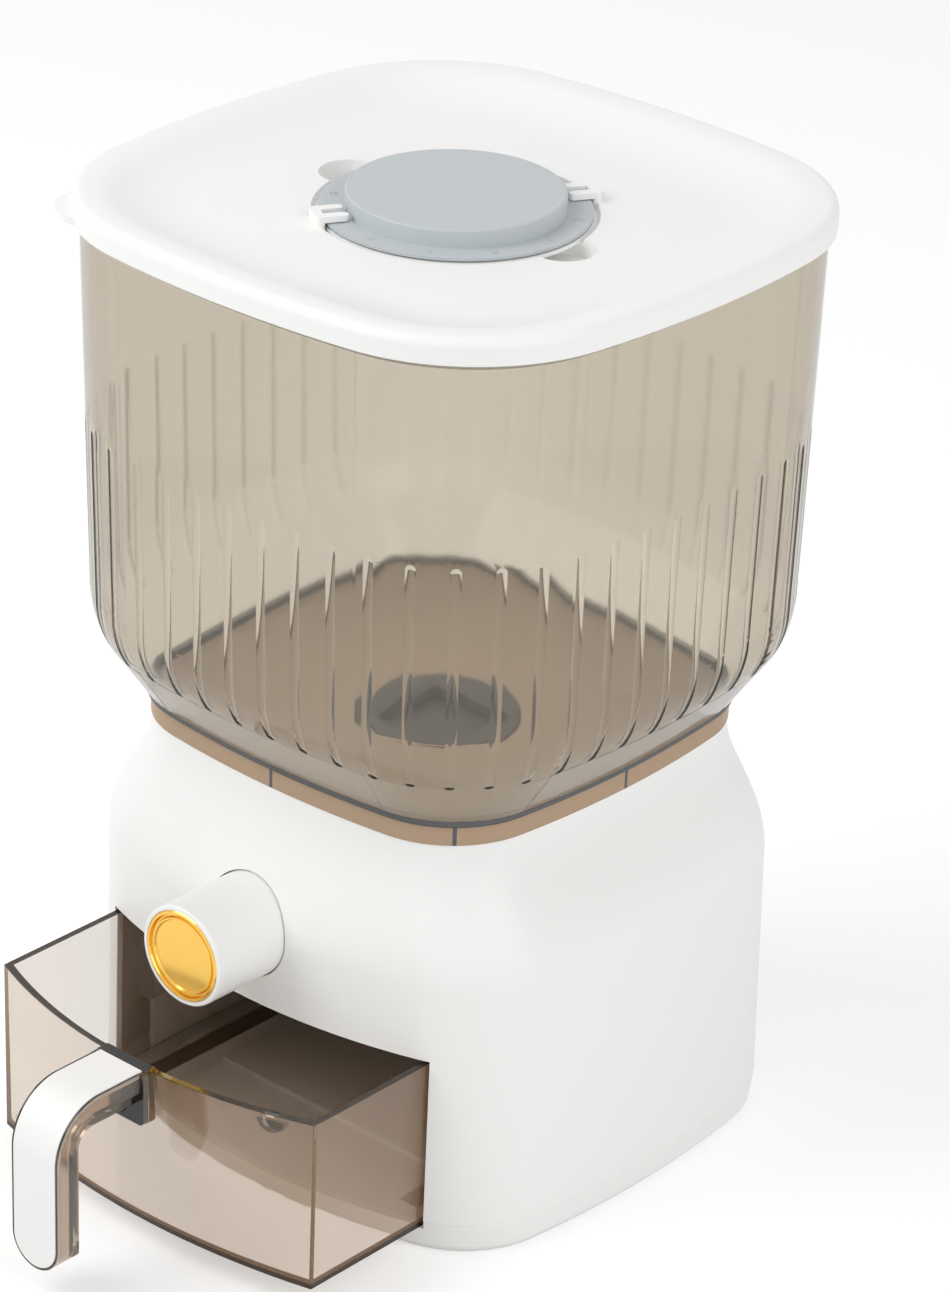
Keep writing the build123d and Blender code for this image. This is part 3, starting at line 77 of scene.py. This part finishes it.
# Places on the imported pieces, in metres
DIAL_FLANGE_Z = 0.3325
FIGURE_SINK = 0.0001
FIGURE_EXTRUDE = 0.0003
DRAWER_RIM_Z = 0.0725
DRAWER_FOOT_Z = 0.0113
FILL_MARK_X = 0.058
FILL_MARK_Z = 0.0706
FILL_MARK_RADIUS = 0.0047
# FILL_MARK_SHADE_SHARE is how dark the fill mark is painted: painted shade.
FILL_MARK_SHADE_SHARE = 0.75
DRAWER_FRONT_Y = -0.1
SKIRT_TOP_Z = 0.1584
SKIRT_BEAD_Z = 0.1553
SIDE_RIB_HALF = 0.0007
CORNER_RIB_SPREAD = 0.001

# Finishes that a user doesn't change
CLEAR_DENSITY = 300.0
HOPPER_SOAKED = (86.0, 101.0, 126.0)
DRAWER_SOAKED = (10.0, 12.0, 17.0)
HANDLE_SOAKED = (30.0, 42.0, 56.0)
DRAWER_BROWN = (0.76, 0.45, 0.24)
DRAWER_BROWN_SHARE = 0.11
SKIRT_BROWN = (0.62, 0.445, 0.305)
SKIRT_BROWN_SHARE = 0.7
# SKIRT_SHADE_GREY is painted shade: a painted shadow under the skirt's ledge and painted dark lines
# at its ribs.
SKIRT_SHADE_GREY = (0.17, 0.172, 0.18, 1.0)
# EDGE_SHADE_TINT and EDGE_HAZE_SHADE_TINT are painted shade: the near-black that the rims and
# narrow edges of the clear plastic are painted with.
EDGE_SHADE_TINT = (0.09, 0.085, 0.08, 1.0)
EDGE_HAZE_SHADE_TINT = (0.05, 0.047, 0.045, 1.0)

# The photograph's camera, solved from the object's outlines
CAMERA_PLACE = (1.0167, -1.1461, 0.9355)
CAMERA_TURN = 41.16
CAMERA_RISE = 26.48
CAMERA_ROLL = 1.96


# Settings


class DispenserFinish(bpy.types.PropertyGroup):
    """Colours and gloss of the dispenser's finishes"""

    white: bpy.props.FloatVectorProperty(
        name="White plastic",
        description="Colour of the lid, base, button barrel and handle strap",
        subtype="COLOR",
        size=3,
        min=0.0,
        max=1.0,
        default=(0.90, 0.90, 0.885),
    )
    smoke: bpy.props.FloatVectorProperty(
        name="Hopper tint",
        description="What one wall of the clear hopper lets through",
        subtype="COLOR",
        size=3,
        min=0.0,
        max=1.0,
        default=(0.93, 0.91, 0.87),
    )
    funnel: bpy.props.FloatVectorProperty(
        name="Funnel tint",
        description="Colour of the hopper's frosted floor",
        subtype="COLOR",
        size=3,
        min=0.0,
        max=1.0,
        default=(0.90, 0.78, 0.69),
    )
    drawer: bpy.props.FloatVectorProperty(
        name="Drawer tint",
        description="Colour of the drawer's smoke brown plastic",
        subtype="COLOR",
        size=3,
        min=0.0,
        max=1.0,
        default=(0.98, 0.965, 0.94),
    )
    handle: bpy.props.FloatVectorProperty(
        name="Handle tint",
        description="Colour of the handle's thicker smoke brown plastic",
        subtype="COLOR",
        size=3,
        min=0.0,
        max=1.0,
        default=(0.85, 0.78, 0.70),
    )
    grey: bpy.props.FloatVectorProperty(
        name="Dial grey",
        description="Colour of the date dial",
        subtype="COLOR",
        size=3,
        min=0.0,
        max=1.0,
        default=(0.52, 0.555, 0.575),
    )
    gold: bpy.props.FloatVectorProperty(
        name="Button gold",
        description="Colour of the metallised button cap",
        subtype="COLOR",
        size=3,
        min=0.0,
        max=1.0,
        default=(0.85, 0.53, 0.12),
    )


class DispenserDetail(bpy.types.PropertyGroup):
    """Sizes of the small details"""

    figure_height: bpy.props.FloatProperty(
        name="Figure height",
        description="Height of the figures on the date dial",
        unit="LENGTH",
        default=0.0046,
        min=0.001,
        max=0.006,
    )
    figure_radius: bpy.props.FloatProperty(
        name="Figure circle",
        description="Radius of the circle that the figures stand on",
        unit="LENGTH",
        default=0.0410,
        min=0.038,
        max=0.044,
    )
    spring_wire: bpy.props.FloatProperty(
        name="Spring wire",
        description="Thickness of the return spring's wire",
        unit="LENGTH",
        default=0.0013,
        min=0.0005,
        max=0.003,
    )
    spring_turns: bpy.props.IntProperty(
        name="Spring turns",
        description="Number of turns of the return spring",
        default=8,
        min=3,
        max=20,
    )


class DispenserStudio(bpy.types.PropertyGroup):
    """Light and camera"""

    world_light: bpy.props.FloatProperty(
        name="Room light",
        description="Strength of the even light from all round",
        default=0.6,
        min=0.0,
        max=2.0,
    )
    key_power: bpy.props.FloatProperty(
        name="Key power",
        description="Power of the large lamp over the front left",
        unit="POWER",
        default=12.5,
        min=0.0,
    )
    side_power: bpy.props.FloatProperty(
        name="Side power",
        description="Power of the lamp on the right",
        unit="POWER",
        default=8.0,
        min=0.0,
    )
    lens: bpy.props.FloatProperty(
        name="Lens",
        description="Focal length of the camera in millimetres",
        default=139.893,
        min=20.0,
        max=400.0,
    )


# Shared tools


def clear_selection():
    if bpy.context.object and bpy.context.object.mode != "OBJECT":
        bpy.ops.object.mode_set(mode="OBJECT")
    bpy.ops.object.select_all(action="DESELECT")


def active_only(obj):
    clear_selection()
    obj.select_set(True)
    bpy.context.view_layer.objects.active = obj


def place_in_mesh(obj):
    """Move an object's place, turn and size into its mesh."""
    active_only(obj)
    bpy.ops.object.transform_apply(location=True, rotation=True, scale=True)


def new_material(name):
    material = bpy.data.materials.new(name)
    material.use_nodes = True
    nodes = material.node_tree.nodes
    nodes.clear()
    output = nodes.new("ShaderNodeOutputMaterial")
    shader = nodes.new("ShaderNodeBsdfPrincipled")
    material.node_tree.links.new(shader.outputs["BSDF"], output.inputs["Surface"])
    return material, nodes, material.node_tree.links, shader


def moulded_grain(nodes, links, shader, scale, strength, rough_low, rough_high):
    """Fine moulded texture: a small bump and a slow change of gloss."""
    coord = nodes.new("ShaderNodeTexCoord")
    fine = nodes.new("ShaderNodeTexNoise")
    fine.inputs["Scale"].default_value = scale
    fine.inputs["Detail"].default_value = 3.0
    slow = nodes.new("ShaderNodeTexNoise")
    slow.inputs["Scale"].default_value = 14.0
    slow.inputs["Detail"].default_value = 2.0
    spread = nodes.new("ShaderNodeMapRange")
    spread.inputs["To Min"].default_value = rough_low
    spread.inputs["To Max"].default_value = rough_high
    bump = nodes.new("ShaderNodeBump")
    bump.inputs["Strength"].default_value = strength
    bump.inputs["Distance"].default_value = 0.0002
    links.new(coord.outputs["Object"], fine.inputs["Vector"])
    links.new(coord.outputs["Object"], slow.inputs["Vector"])
    links.new(slow.outputs["Fac"], spread.inputs["Value"])
    links.new(spread.outputs["Result"], shader.inputs["Roughness"])
    links.new(fine.outputs["Fac"], bump.inputs["Height"])
    links.new(bump.outputs["Normal"], shader.inputs["Normal"])


def dress(node, material):
    """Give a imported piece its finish."""
    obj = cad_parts[node]
    for material_slot in obj.material_slots:
        material_slot.material = material
    if not obj.material_slots:
        obj.data.materials.append(material)


# Finishes


def satin_white():
    material, nodes, links, shader = new_material("satin_white_plastic")
    shader.inputs["Base Color"].default_value = (*bpy.context.scene.dispenser_finish.white, 1.0)
    shader.inputs["IOR"].default_value = 1.46
    moulded_grain(nodes, links, shader, 900.0, 0.05, 0.34, 0.42)
    return material


def smoke_clear(name, colour, clear, rough_low, rough_high, soaked=(0.0, 0.0, 0.0), bend=1.46):
    """See-through plastic. The soaked share grows with the way through it, so edges look darker."""
    material, nodes, links, shader = new_material(name)
    shader.inputs["Base Color"].default_value = (*colour, 1.0)
    shader.inputs["IOR"].default_value = bend
    shader.inputs["Transmission Weight"].default_value = clear
    coord = nodes.new("ShaderNodeTexCoord")
    flow = nodes.new("ShaderNodeTexNoise")
    flow.inputs["Scale"].default_value = 9.0
    flow.inputs["Detail"].default_value = 2.0
    spread = nodes.new("ShaderNodeMapRange")
    spread.inputs["To Min"].default_value = rough_low
    spread.inputs["To Max"].default_value = rough_high
    links.new(coord.outputs["Object"], flow.inputs["Vector"])
    links.new(flow.outputs["Fac"], spread.inputs["Value"])
    links.new(spread.outputs["Result"], shader.inputs["Roughness"])
    if max(soaked) > 0.0:
        inside = nodes.new("ShaderNodeVolumeAbsorption")
        inside.inputs["Color"].default_value = (
            *(1.0 - share / CLEAR_DENSITY for share in soaked),
            1.0,
        )
        inside.inputs["Density"].default_value = CLEAR_DENSITY
        output = next(node for node in nodes if node.type == "OUTPUT_MATERIAL")
        links.new(inside.outputs["Volume"], output.inputs["Volume"])
    return material


def haze(material, colour, share):
    """A share of the light scatters in the plastic and comes back brown."""
    nodes = material.node_tree.nodes
    links = material.node_tree.links
    clear = next(node for node in nodes if node.type == "BSDF_PRINCIPLED")
    output = next(node for node in nodes if node.type == "OUTPUT_MATERIAL")
    brown = nodes.new("ShaderNodeBsdfDiffuse")
    brown.inputs["Color"].default_value = (*colour, 1.0)
    mix = nodes.new("ShaderNodeMixShader")
    mix.inputs["Fac"].default_value = share
    links.new(clear.outputs["BSDF"], mix.inputs[1])
    links.new(brown.outputs["BSDF"], mix.inputs[2])
    links.new(mix.outputs["Shader"], output.inputs["Surface"])


def compare(nodes, links, socket, kind, value):
    """One where the socket's number is over or under the value, else zero."""
    test = nodes.new("ShaderNodeMath")
    test.operation = kind
    links.new(socket, test.inputs[0])
    test.inputs[1].default_value = value
    return test.outputs[0]


def unsigned(nodes, links, socket):
    """The socket's number without its sign."""
    size = nodes.new("ShaderNodeMath")
    size.operation = "ABSOLUTE"
    links.new(socket, size.inputs[0])
    return size.outputs[0]


def combine(nodes, links, kind, first, second):
    """Two tests or numbers made into one."""
    both = nodes.new("ShaderNodeMath")
    both.operation = kind
    links.new(first, both.inputs[0])
    links.new(second, both.inputs[1])
    return both.outputs[0]


def dark_edges(material, find_edge_shade):
    """Painted shade: clear plastic looks dark on its narrow edges, where the way through it is
    long, and here that dark is painted into the colour by place.
    """
    nodes = material.node_tree.nodes
    links = material.node_tree.links
    shader = next(node for node in nodes if node.type == "BSDF_PRINCIPLED")
    coord = next(node for node in nodes if node.type == "TEX_COORD")
    place = nodes.new("ShaderNodeSeparateXYZ")
    links.new(coord.outputs["Object"], place.inputs[0])
    facing = nodes.new("ShaderNodeSeparateXYZ")
    links.new(coord.outputs["Normal"], facing.inputs[0])
    tint = nodes.new("ShaderNodeMix")
    tint.data_type = "RGBA"
    tint.inputs["A"].default_value = shader.inputs["Base Color"].default_value
    tint.inputs["B"].default_value = EDGE_SHADE_TINT
    # The mask of where the painted shade goes.
    shade_mask = find_edge_shade(nodes, links, place, facing)
    links.new(shade_mask, tint.inputs["Factor"])
    links.new(tint.outputs["Result"], shader.inputs["Base Color"])
    for brown in (node for node in nodes if node.type == "BSDF_DIFFUSE"):
        dim = nodes.new("ShaderNodeMix")
        dim.data_type = "RGBA"
        dim.inputs["A"].default_value = brown.inputs["Color"].default_value
        dim.inputs["B"].default_value = EDGE_HAZE_SHADE_TINT
        links.new(shade_mask, dim.inputs["Factor"])
        links.new(dim.outputs["Result"], brown.inputs["Color"])


def drawer_edge(nodes, links, place, facing):
    """Where the drawer is painted dark, as painted shade: its top rim, the lowest line of its
    walls, and the half-round fill mark.
    """
    rim = compare(nodes, links, place.outputs["Z"], "GREATER_THAN", DRAWER_RIM_Z)
    low = compare(nodes, links, place.outputs["Z"], "LESS_THAN", DRAWER_FOOT_Z)
    up = unsigned(nodes, links, facing.outputs["Z"])
    wall = compare(nodes, links, up, "LESS_THAN", 0.5)
    foot = combine(nodes, links, "MULTIPLY", low, wall)
    shade_mask = combine(nodes, links, "MAXIMUM", rim, foot)
    flat = nodes.new("ShaderNodeVectorMath")
    flat.operation = "MULTIPLY"
    flat.inputs[1].default_value = (1.0, 0.0, 1.0)
    links.new(place.inputs[0].links[0].from_socket, flat.inputs[0])
    away = nodes.new("ShaderNodeVectorMath")
    away.operation = "DISTANCE"
    away.inputs[1].default_value = (FILL_MARK_X, 0.0, FILL_MARK_Z)
    links.new(flat.outputs["Vector"], away.inputs[0])
    disc = compare(nodes, links, away.outputs["Value"], "LESS_THAN", FILL_MARK_RADIUS)
    under = compare(nodes, links, place.outputs["Z"], "LESS_THAN", FILL_MARK_Z)
    front = compare(nodes, links, place.outputs["Y"], "LESS_THAN", DRAWER_FRONT_Y)
    half = combine(nodes, links, "MULTIPLY", disc, under)
    mark = combine(nodes, links, "MULTIPLY", half, front)
    # The fill mark is painted dark at this share of the full painted shade.
    pale = nodes.new("ShaderNodeMath")
    pale.operation = "MULTIPLY"
    pale.inputs[1].default_value = FILL_MARK_SHADE_SHARE
    links.new(mark, pale.inputs[0])
    return combine(nodes, links, "MAXIMUM", shade_mask, pale.outputs[0])


def neck_band(material):
    """The skirt round the neck turns mostly to a diffuse brown below SKIRT_TOP_Z. Its bead and its
    ribs are painted grey: a painted shadow under the ledge and painted dark lines at the ribs.
    """
    haze(material, SKIRT_BROWN, 0.0)
    nodes = material.node_tree.nodes
    links = material.node_tree.links
    brown = next(node for node in nodes if node.type == "BSDF_DIFFUSE")
    mix = next(node for node in nodes if node.type == "MIX_SHADER")
    coord = next(node for node in nodes if node.type == "TEX_COORD")
    place = nodes.new("ShaderNodeSeparateXYZ")
    links.new(coord.outputs["Object"], place.inputs[0])
    band = compare(nodes, links, place.outputs["Z"], "LESS_THAN", SKIRT_TOP_Z)
    share = nodes.new("ShaderNodeMath")
    share.operation = "MULTIPLY"
    share.inputs[1].default_value = SKIRT_BROWN_SHARE
    links.new(band, share.inputs[0])
    links.new(share.outputs[0], mix.inputs["Fac"])
    across = unsigned(nodes, links, place.outputs["X"])
    along = unsigned(nodes, links, place.outputs["Y"])
    least = combine(nodes, links, "MINIMUM", across, along)
    side_ribs = compare(nodes, links, least, "LESS_THAN", SIDE_RIB_HALF)
    spread = unsigned(nodes, links, combine(nodes, links, "SUBTRACT", across, along))
    corner_ribs = compare(nodes, links, spread, "LESS_THAN", CORNER_RIB_SPREAD)
    ribs = combine(nodes, links, "MAXIMUM", side_ribs, corner_ribs)
    bead = compare(nodes, links, place.outputs["Z"], "GREATER_THAN", SKIRT_BEAD_Z)
    # Painted shade: the grey marks a painted shadow under the ledge and painted dark lines at the
    # ribs.
    dark = combine(nodes, links, "MAXIMUM", ribs, bead)
    tint = nodes.new("ShaderNodeMix")
    tint.data_type = "RGBA"
    tint.inputs["A"].default_value = brown.inputs["Color"].default_value
    tint.inputs["B"].default_value = SKIRT_SHADE_GREY
    links.new(dark, tint.inputs["Factor"])
    links.new(tint.outputs["Result"], brown.inputs["Color"])


def handle_edge(nodes, links, place, facing):
    """Painted shade on the handle's narrow border round its strap: faces not turned along X are
    painted dark.
    """
    side = unsigned(nodes, links, facing.outputs["X"])
    return compare(nodes, links, side, "LESS_THAN", 0.5)


def dial_grey():
    material, nodes, links, shader = new_material("dial_grey_plastic")
    shader.inputs["Base Color"].default_value = (*bpy.context.scene.dispenser_finish.grey, 1.0)
    shader.inputs["IOR"].default_value = 1.45
    moulded_grain(nodes, links, shader, 1400.0, 0.12, 0.46, 0.56)
    return material


def button_gold():
    material, nodes, links, shader = new_material("button_gold")
    shader.inputs["Base Color"].default_value = (*bpy.context.scene.dispenser_finish.gold, 1.0)
    shader.inputs["Metallic"].default_value = 1.0
    moulded_grain(nodes, links, shader, 260.0, 0.02, 0.12, 0.2)
    return material


def dark_matt():
    material, nodes, links, shader = new_material("dark_matt_plastic")
    shader.inputs["Base Color"].default_value = (0.045, 0.045, 0.05, 1.0)
    moulded_grain(nodes, links, shader, 1100.0, 0.1, 0.45, 0.6)
    return material


def outlet_grey():
    material, nodes, links, shader = new_material("outlet_grey_plastic")
    shader.inputs["Base Color"].default_value = (0.32, 0.33, 0.35, 1.0)
    moulded_grain(nodes, links, shader, 1100.0, 0.1, 0.45, 0.6)
    return material


def plain_steel():
    material, nodes, links, shader = new_material("plain_steel")
    shader.inputs["Base Color"].default_value = (0.56, 0.56, 0.58, 1.0)
    shader.inputs["Metallic"].default_value = 1.0
    moulded_grain(nodes, links, shader, 2200.0, 0.08, 0.24, 0.38)
    return material


def pale_rubber():
    material, nodes, links, shader = new_material("pale_rubber")
    shader.inputs["Base Color"].default_value = (0.55, 0.55, 0.54, 1.0)
    moulded_grain(nodes, links, shader, 1600.0, 0.2, 0.7, 0.85)
    return material


class DISPENSER_OT_white_parts(bpy.types.Operator):
    """Finish the white plastic pieces"""

    bl_idname = "dispenser.white_parts"
    bl_label = "White Parts"

    def execute(self, context):
        material = satin_white()
        for node in WHITE_NODES:
            dress(node, material)
        return {"FINISHED"}


class DISPENSER_OT_clear_parts(bpy.types.Operator):
    """Finish the clear hopper, funnel, drawer and handle"""

    bl_idname = "dispenser.clear_parts"
    bl_label = "Clear Parts"

    def execute(self, context):
        finish = context.scene.dispenser_finish
        hopper = smoke_clear("smoke_hopper", finish.smoke, 1.0, 0.055, 0.085, HOPPER_SOAKED, 1.37)
        # Painted shade on the neck skirt's bead and ribs.
        neck_band(hopper)
        dress("hopper_shell", hopper)
        dress("hopper_floor", smoke_clear("smoke_funnel", finish.funnel, 0.08, 0.3, 0.42))
        drawer = smoke_clear("smoke_drawer", finish.drawer, 1.0, 0.02, 0.05, DRAWER_SOAKED)
        haze(drawer, DRAWER_BROWN, DRAWER_BROWN_SHARE)
        # Painted shade on the drawer's rim, the foot line of its walls and its fill mark.
        dark_edges(drawer, drawer_edge)
        dress("drawer_bin", drawer)
        handle = smoke_clear("smoke_handle", finish.handle, 0.85, 0.08, 0.14, HANDLE_SOAKED)
        # Painted shade on the handle's narrow border.
        dark_edges(handle, handle_edge)
        dress("drawer_handle", handle)
        return {"FINISHED"}


class DISPENSER_OT_inner_parts(bpy.types.Operator):
    """Finish the shutter works, screws, spring and seals"""

    bl_idname = "dispenser.inner_parts"
    bl_label = "Inner Parts"

    def execute(self, context):
        dark = dark_matt()
        for node in DARK_NODES:
            dress(node, dark)
        outlet = outlet_grey()
        for node in OUTLET_NODES:
            dress(node, outlet)
        steel = plain_steel()
        for node in STEEL_NODES:
            dress(node, steel)
        rubber = pale_rubber()
        for node in RUBBER_NODES:
            dress(node, rubber)
        return {"FINISHED"}


class DISPENSER_OT_spring(bpy.types.Operator):
    """Wind a coiled return spring in place of the imported one"""

    bl_idname = "dispenser.spring"
    bl_label = "Return Spring"

    def execute(self, context):
        detail = context.scene.dispenser_detail
        low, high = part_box("return_spring")
        wire = detail.spring_wire / 2
        coil = (high[0] - low[0]) / 2 - wire
        run = high[1] - low[1] - 2 * wire
        middle = (low[2] + high[2]) / 2
        clear_selection()
        bpy.ops.mesh.primitive_circle_add(
            vertices=14, radius=wire, location=(0, low[1] + wire, middle)
        )
        spring = bpy.context.object
        spring.name = "coiled_spring"
        bpy.ops.object.mode_set(mode="EDIT")
        bpy.ops.mesh.select_all(action="SELECT")
        bpy.ops.transform.translate(value=(coil, 0, 0))
        bpy.ops.object.mode_set(mode="OBJECT")
        winding = spring.modifiers.new("winding", "SCREW")
        winding.axis = "Y"
        winding.iterations = detail.spring_turns
        winding.screw_offset = run / detail.spring_turns
        winding.steps = 40
        winding.render_steps = 40
        bpy.ops.object.modifier_apply(modifier=winding.name)
        bpy.ops.object.mode_set(mode="EDIT")
        bpy.ops.mesh.select_all(action="SELECT")
        bpy.ops.mesh.remove_doubles(threshold=0.00001)
        bpy.ops.mesh.fill_holes(sides=0)
        bpy.ops.mesh.select_all(action="SELECT")
        bpy.ops.mesh.normals_make_consistent(inside=False)
        bpy.ops.object.mode_set(mode="OBJECT")
        place_in_mesh(spring)
        bpy.ops.object.shade_smooth_by_angle(angle=radians(50))
        spring.data.materials.append(bpy.data.materials["plain_steel"])
        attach(spring, "stand")
        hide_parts("return_spring")
        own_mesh(spring)
        return {"FINISHED"}


class DISPENSER_OT_button(bpy.types.Operator):
    """Finish the button's gold cap"""

    bl_idname = "dispenser.button"
    bl_label = "Button Cap"

    def execute(self, context):
        dress("button_cap", button_gold())
        return {"FINISHED"}


class DISPENSER_OT_dial(bpy.types.Operator):
    """Finish the date dial and stand its figures 1 to 12 on the flange"""

    bl_idname = "dispenser.dial"
    bl_label = "Date Dial"

    def execute(self, context):
        material = dial_grey()
        dress("date_dial", material)
        detail = context.scene.dispenser_detail
        made = []
        for month in range(1, 13):
            clear_selection()
            angle = radians(90 - 30 * month)
            spot = (
                detail.figure_radius * cos(angle),
                detail.figure_radius * sin(angle),
                DIAL_FLANGE_Z - FIGURE_SINK,
            )
            bpy.ops.object.text_add(location=spot, rotation=(0, 0, angle - pi / 2))
            figure = bpy.context.object
            figure.data.body = str(month)
            figure.data.size = detail.figure_height
            figure.data.align_x = "CENTER"
            figure.data.align_y = "CENTER"
            figure.data.extrude = FIGURE_EXTRUDE
            bpy.ops.object.convert(target="MESH")
            made.append(bpy.context.object)
        clear_selection()
        for figure in made:
            figure.select_set(True)
        bpy.context.view_layer.objects.active = made[0]
        bpy.ops.object.join()
        figures = bpy.context.object
        figures.name = "dial_figures"
        place_in_mesh(figures)
        figures.data.materials.clear()
        figures.data.materials.append(material)
        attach(figures, "dial")
        return {"FINISHED"}


class DISPENSER_OT_studio(bpy.types.Operator):
    """Build the floor, the light and the camera"""

    bl_idname = "dispenser.studio"
    bl_label = "Studio"

    def floor(self):
        clear_selection()
        bpy.ops.mesh.primitive_plane_add(size=8.0, location=(0, 0, -0.0002))
        floor = bpy.context.object
        floor.name = "studio_floor"
        place_in_mesh(floor)
        material, nodes, links, shader = new_material("studio_floor")
        shader.inputs["Roughness"].default_value = 0.9
        shader.inputs["Specular IOR Level"].default_value = 0.0
        rays = nodes.new("ShaderNodeLightPath")
        seen = combine(
            nodes, links, "MAXIMUM", rays.outputs["Is Camera Ray"], rays.outputs["Is Glossy Ray"]
        )
        lift = nodes.new("ShaderNodeMath")
        lift.operation = "MULTIPLY"
        lift.inputs[1].default_value = 0.3
        links.new(seen, lift.inputs[0])
        through = nodes.new("ShaderNodeMath")
        through.operation = "MULTIPLY_ADD"
        through.inputs[1].default_value = 0.45
        links.new(rays.outputs["Is Transmission Ray"], through.inputs[0])
        links.new(lift.outputs[0], through.inputs[2])
        shader.inputs["Emission Color"].default_value = (1, 1, 1, 1)
        pale = nodes.new("ShaderNodeMix")
        pale.data_type = "RGBA"
        pale.inputs["A"].default_value = (0.86, 0.86, 0.86, 1.0)
        pale.inputs["B"].default_value = (0.34, 0.34, 0.34, 1.0)
        links.new(rays.outputs["Is Transmission Ray"], pale.inputs["Factor"])
        links.new(pale.outputs["Result"], shader.inputs["Base Color"])
        links.new(through.outputs[0], shader.inputs["Emission Strength"])
        floor.data.materials.append(material)

    def room(self, strength):
        world = bpy.data.worlds.new("studio_room")
        bpy.context.scene.world = world
        world.use_nodes = True
        nodes = world.node_tree.nodes
        links = world.node_tree.links
        nodes.clear()
        output = nodes.new("ShaderNodeOutputWorld")
        light = nodes.new("ShaderNodeBackground")
        light.inputs["Color"].default_value = (1, 1, 1, 1)
        light.inputs["Strength"].default_value = strength
        seen = nodes.new("ShaderNodeBackground")
        seen.inputs["Color"].default_value = (1, 1, 1, 1)
        seen.inputs["Strength"].default_value = 1.0
        rays = nodes.new("ShaderNodeLightPath")
        either = combine(
            nodes, links, "MAXIMUM", rays.outputs["Is Camera Ray"], rays.outputs["Is Glossy Ray"]
        )
        any_seen = combine(nodes, links, "MAXIMUM", either, rays.outputs["Is Transmission Ray"])
        mix = nodes.new("ShaderNodeMixShader")
        links.new(any_seen, mix.inputs["Fac"])
        links.new(light.outputs[0], mix.inputs[1])
        links.new(seen.outputs[0], mix.inputs[2])
        links.new(mix.outputs[0], output.inputs["Surface"])

    def lamp(self, name, place, aim, size, power):
        clear_selection()
        bpy.ops.object.light_add(type="AREA", location=place)
        lamp = bpy.context.object
        lamp.name = name
        lamp.data.shape = "RECTANGLE"
        lamp.data.size = size[0]
        lamp.data.size_y = size[1]
        lamp.data.energy = power
        back = Vector(place) - Vector(aim)
        lamp.rotation_euler = back.to_track_quat("Z", "Y").to_euler()

    def camera(self, lens):
        clear_selection()
        bpy.ops.object.camera_add()
        camera = bpy.context.object
        camera.name = "photo_camera"
        camera.data.lens = lens
        camera.data.sensor_width = 36.0
        camera.data.sensor_fit = "AUTO"
        camera.data.clip_end = 50.0
        turn = radians(CAMERA_TURN)
        rise = radians(CAMERA_RISE)
        roll = radians(CAMERA_ROLL)
        back = Vector((sin(turn) * cos(rise), -cos(turn) * cos(rise), sin(rise)))
        right = Vector((0, 0, 1)).cross(back).normalized()
        up = back.cross(right)
        side = cos(roll) * right + sin(roll) * up
        top = -sin(roll) * right + cos(roll) * up
        pose = Matrix((side, top, back)).transposed().to_4x4()
        pose.translation = Vector(CAMERA_PLACE)
        camera.matrix_world = pose
        bpy.context.scene.camera = camera

    def execute(self, context):
        studio = context.scene.dispenser_studio
        self.floor()
        self.room(studio.world_light)
        self.lamp("key_lamp", (-0.75, -0.95, 1.25), (0, 0, 0.18), (1.2, 1.2), studio.key_power)
        self.lamp("side_lamp", (1.5, -0.2, 0.9), (0, 0, 0.18), (1.0, 1.4), studio.side_power)
        self.camera(studio.lens)
        context.scene.view_settings.view_transform = "Standard"
        return {"FINISHED"}


class DISPENSER_PT_panel(bpy.types.Panel):
    """The dispenser's settings and steps"""

    bl_idname = "DISPENSER_PT_panel"
    bl_label = "Rice Dispenser"
    bl_space_type = "VIEW_3D"
    bl_region_type = "UI"
    bl_category = "Dispenser"

    def draw(self, context):
        layout = self.layout
        scene = context.scene
        for settings in (scene.dispenser_finish, scene.dispenser_detail, scene.dispenser_studio):
            box = layout.box()
            for name in settings.bl_rna.properties.keys():
                if name not in ("rna_type", "name"):
                    box.prop(settings, name)
        for step in STEPS:
            layout.operator(step.bl_idname)


STEPS = (
    DISPENSER_OT_white_parts,
    DISPENSER_OT_clear_parts,
    DISPENSER_OT_inner_parts,
    DISPENSER_OT_spring,
    DISPENSER_OT_button,
    DISPENSER_OT_dial,
    DISPENSER_OT_studio,
)
SETTINGS = (
    (DispenserFinish, "dispenser_finish"),
    (DispenserDetail, "dispenser_detail"),
    (DispenserStudio, "dispenser_studio"),
)


def register():
    for group, place in SETTINGS:
        bpy.utils.register_class(group)
        setattr(bpy.types.Scene, place, bpy.props.PointerProperty(type=group))
    for step in STEPS:
        bpy.utils.register_class(step)
    bpy.utils.register_class(DISPENSER_PT_panel)


def unregister():
    bpy.utils.unregister_class(DISPENSER_PT_panel)
    for step in reversed(STEPS):
        bpy.utils.unregister_class(step)
    for group, place in reversed(SETTINGS):
        delattr(bpy.types.Scene, place)
        bpy.utils.unregister_class(group)


def main():
    register()
    bpy.ops.dispenser.white_parts()
    bpy.ops.dispenser.clear_parts()
    bpy.ops.dispenser.inner_parts()
    bpy.ops.dispenser.spring()
    bpy.ops.dispenser.button()
    bpy.ops.dispenser.dial()
    bpy.ops.dispenser.studio()


if __name__ == "__main__":
    main()
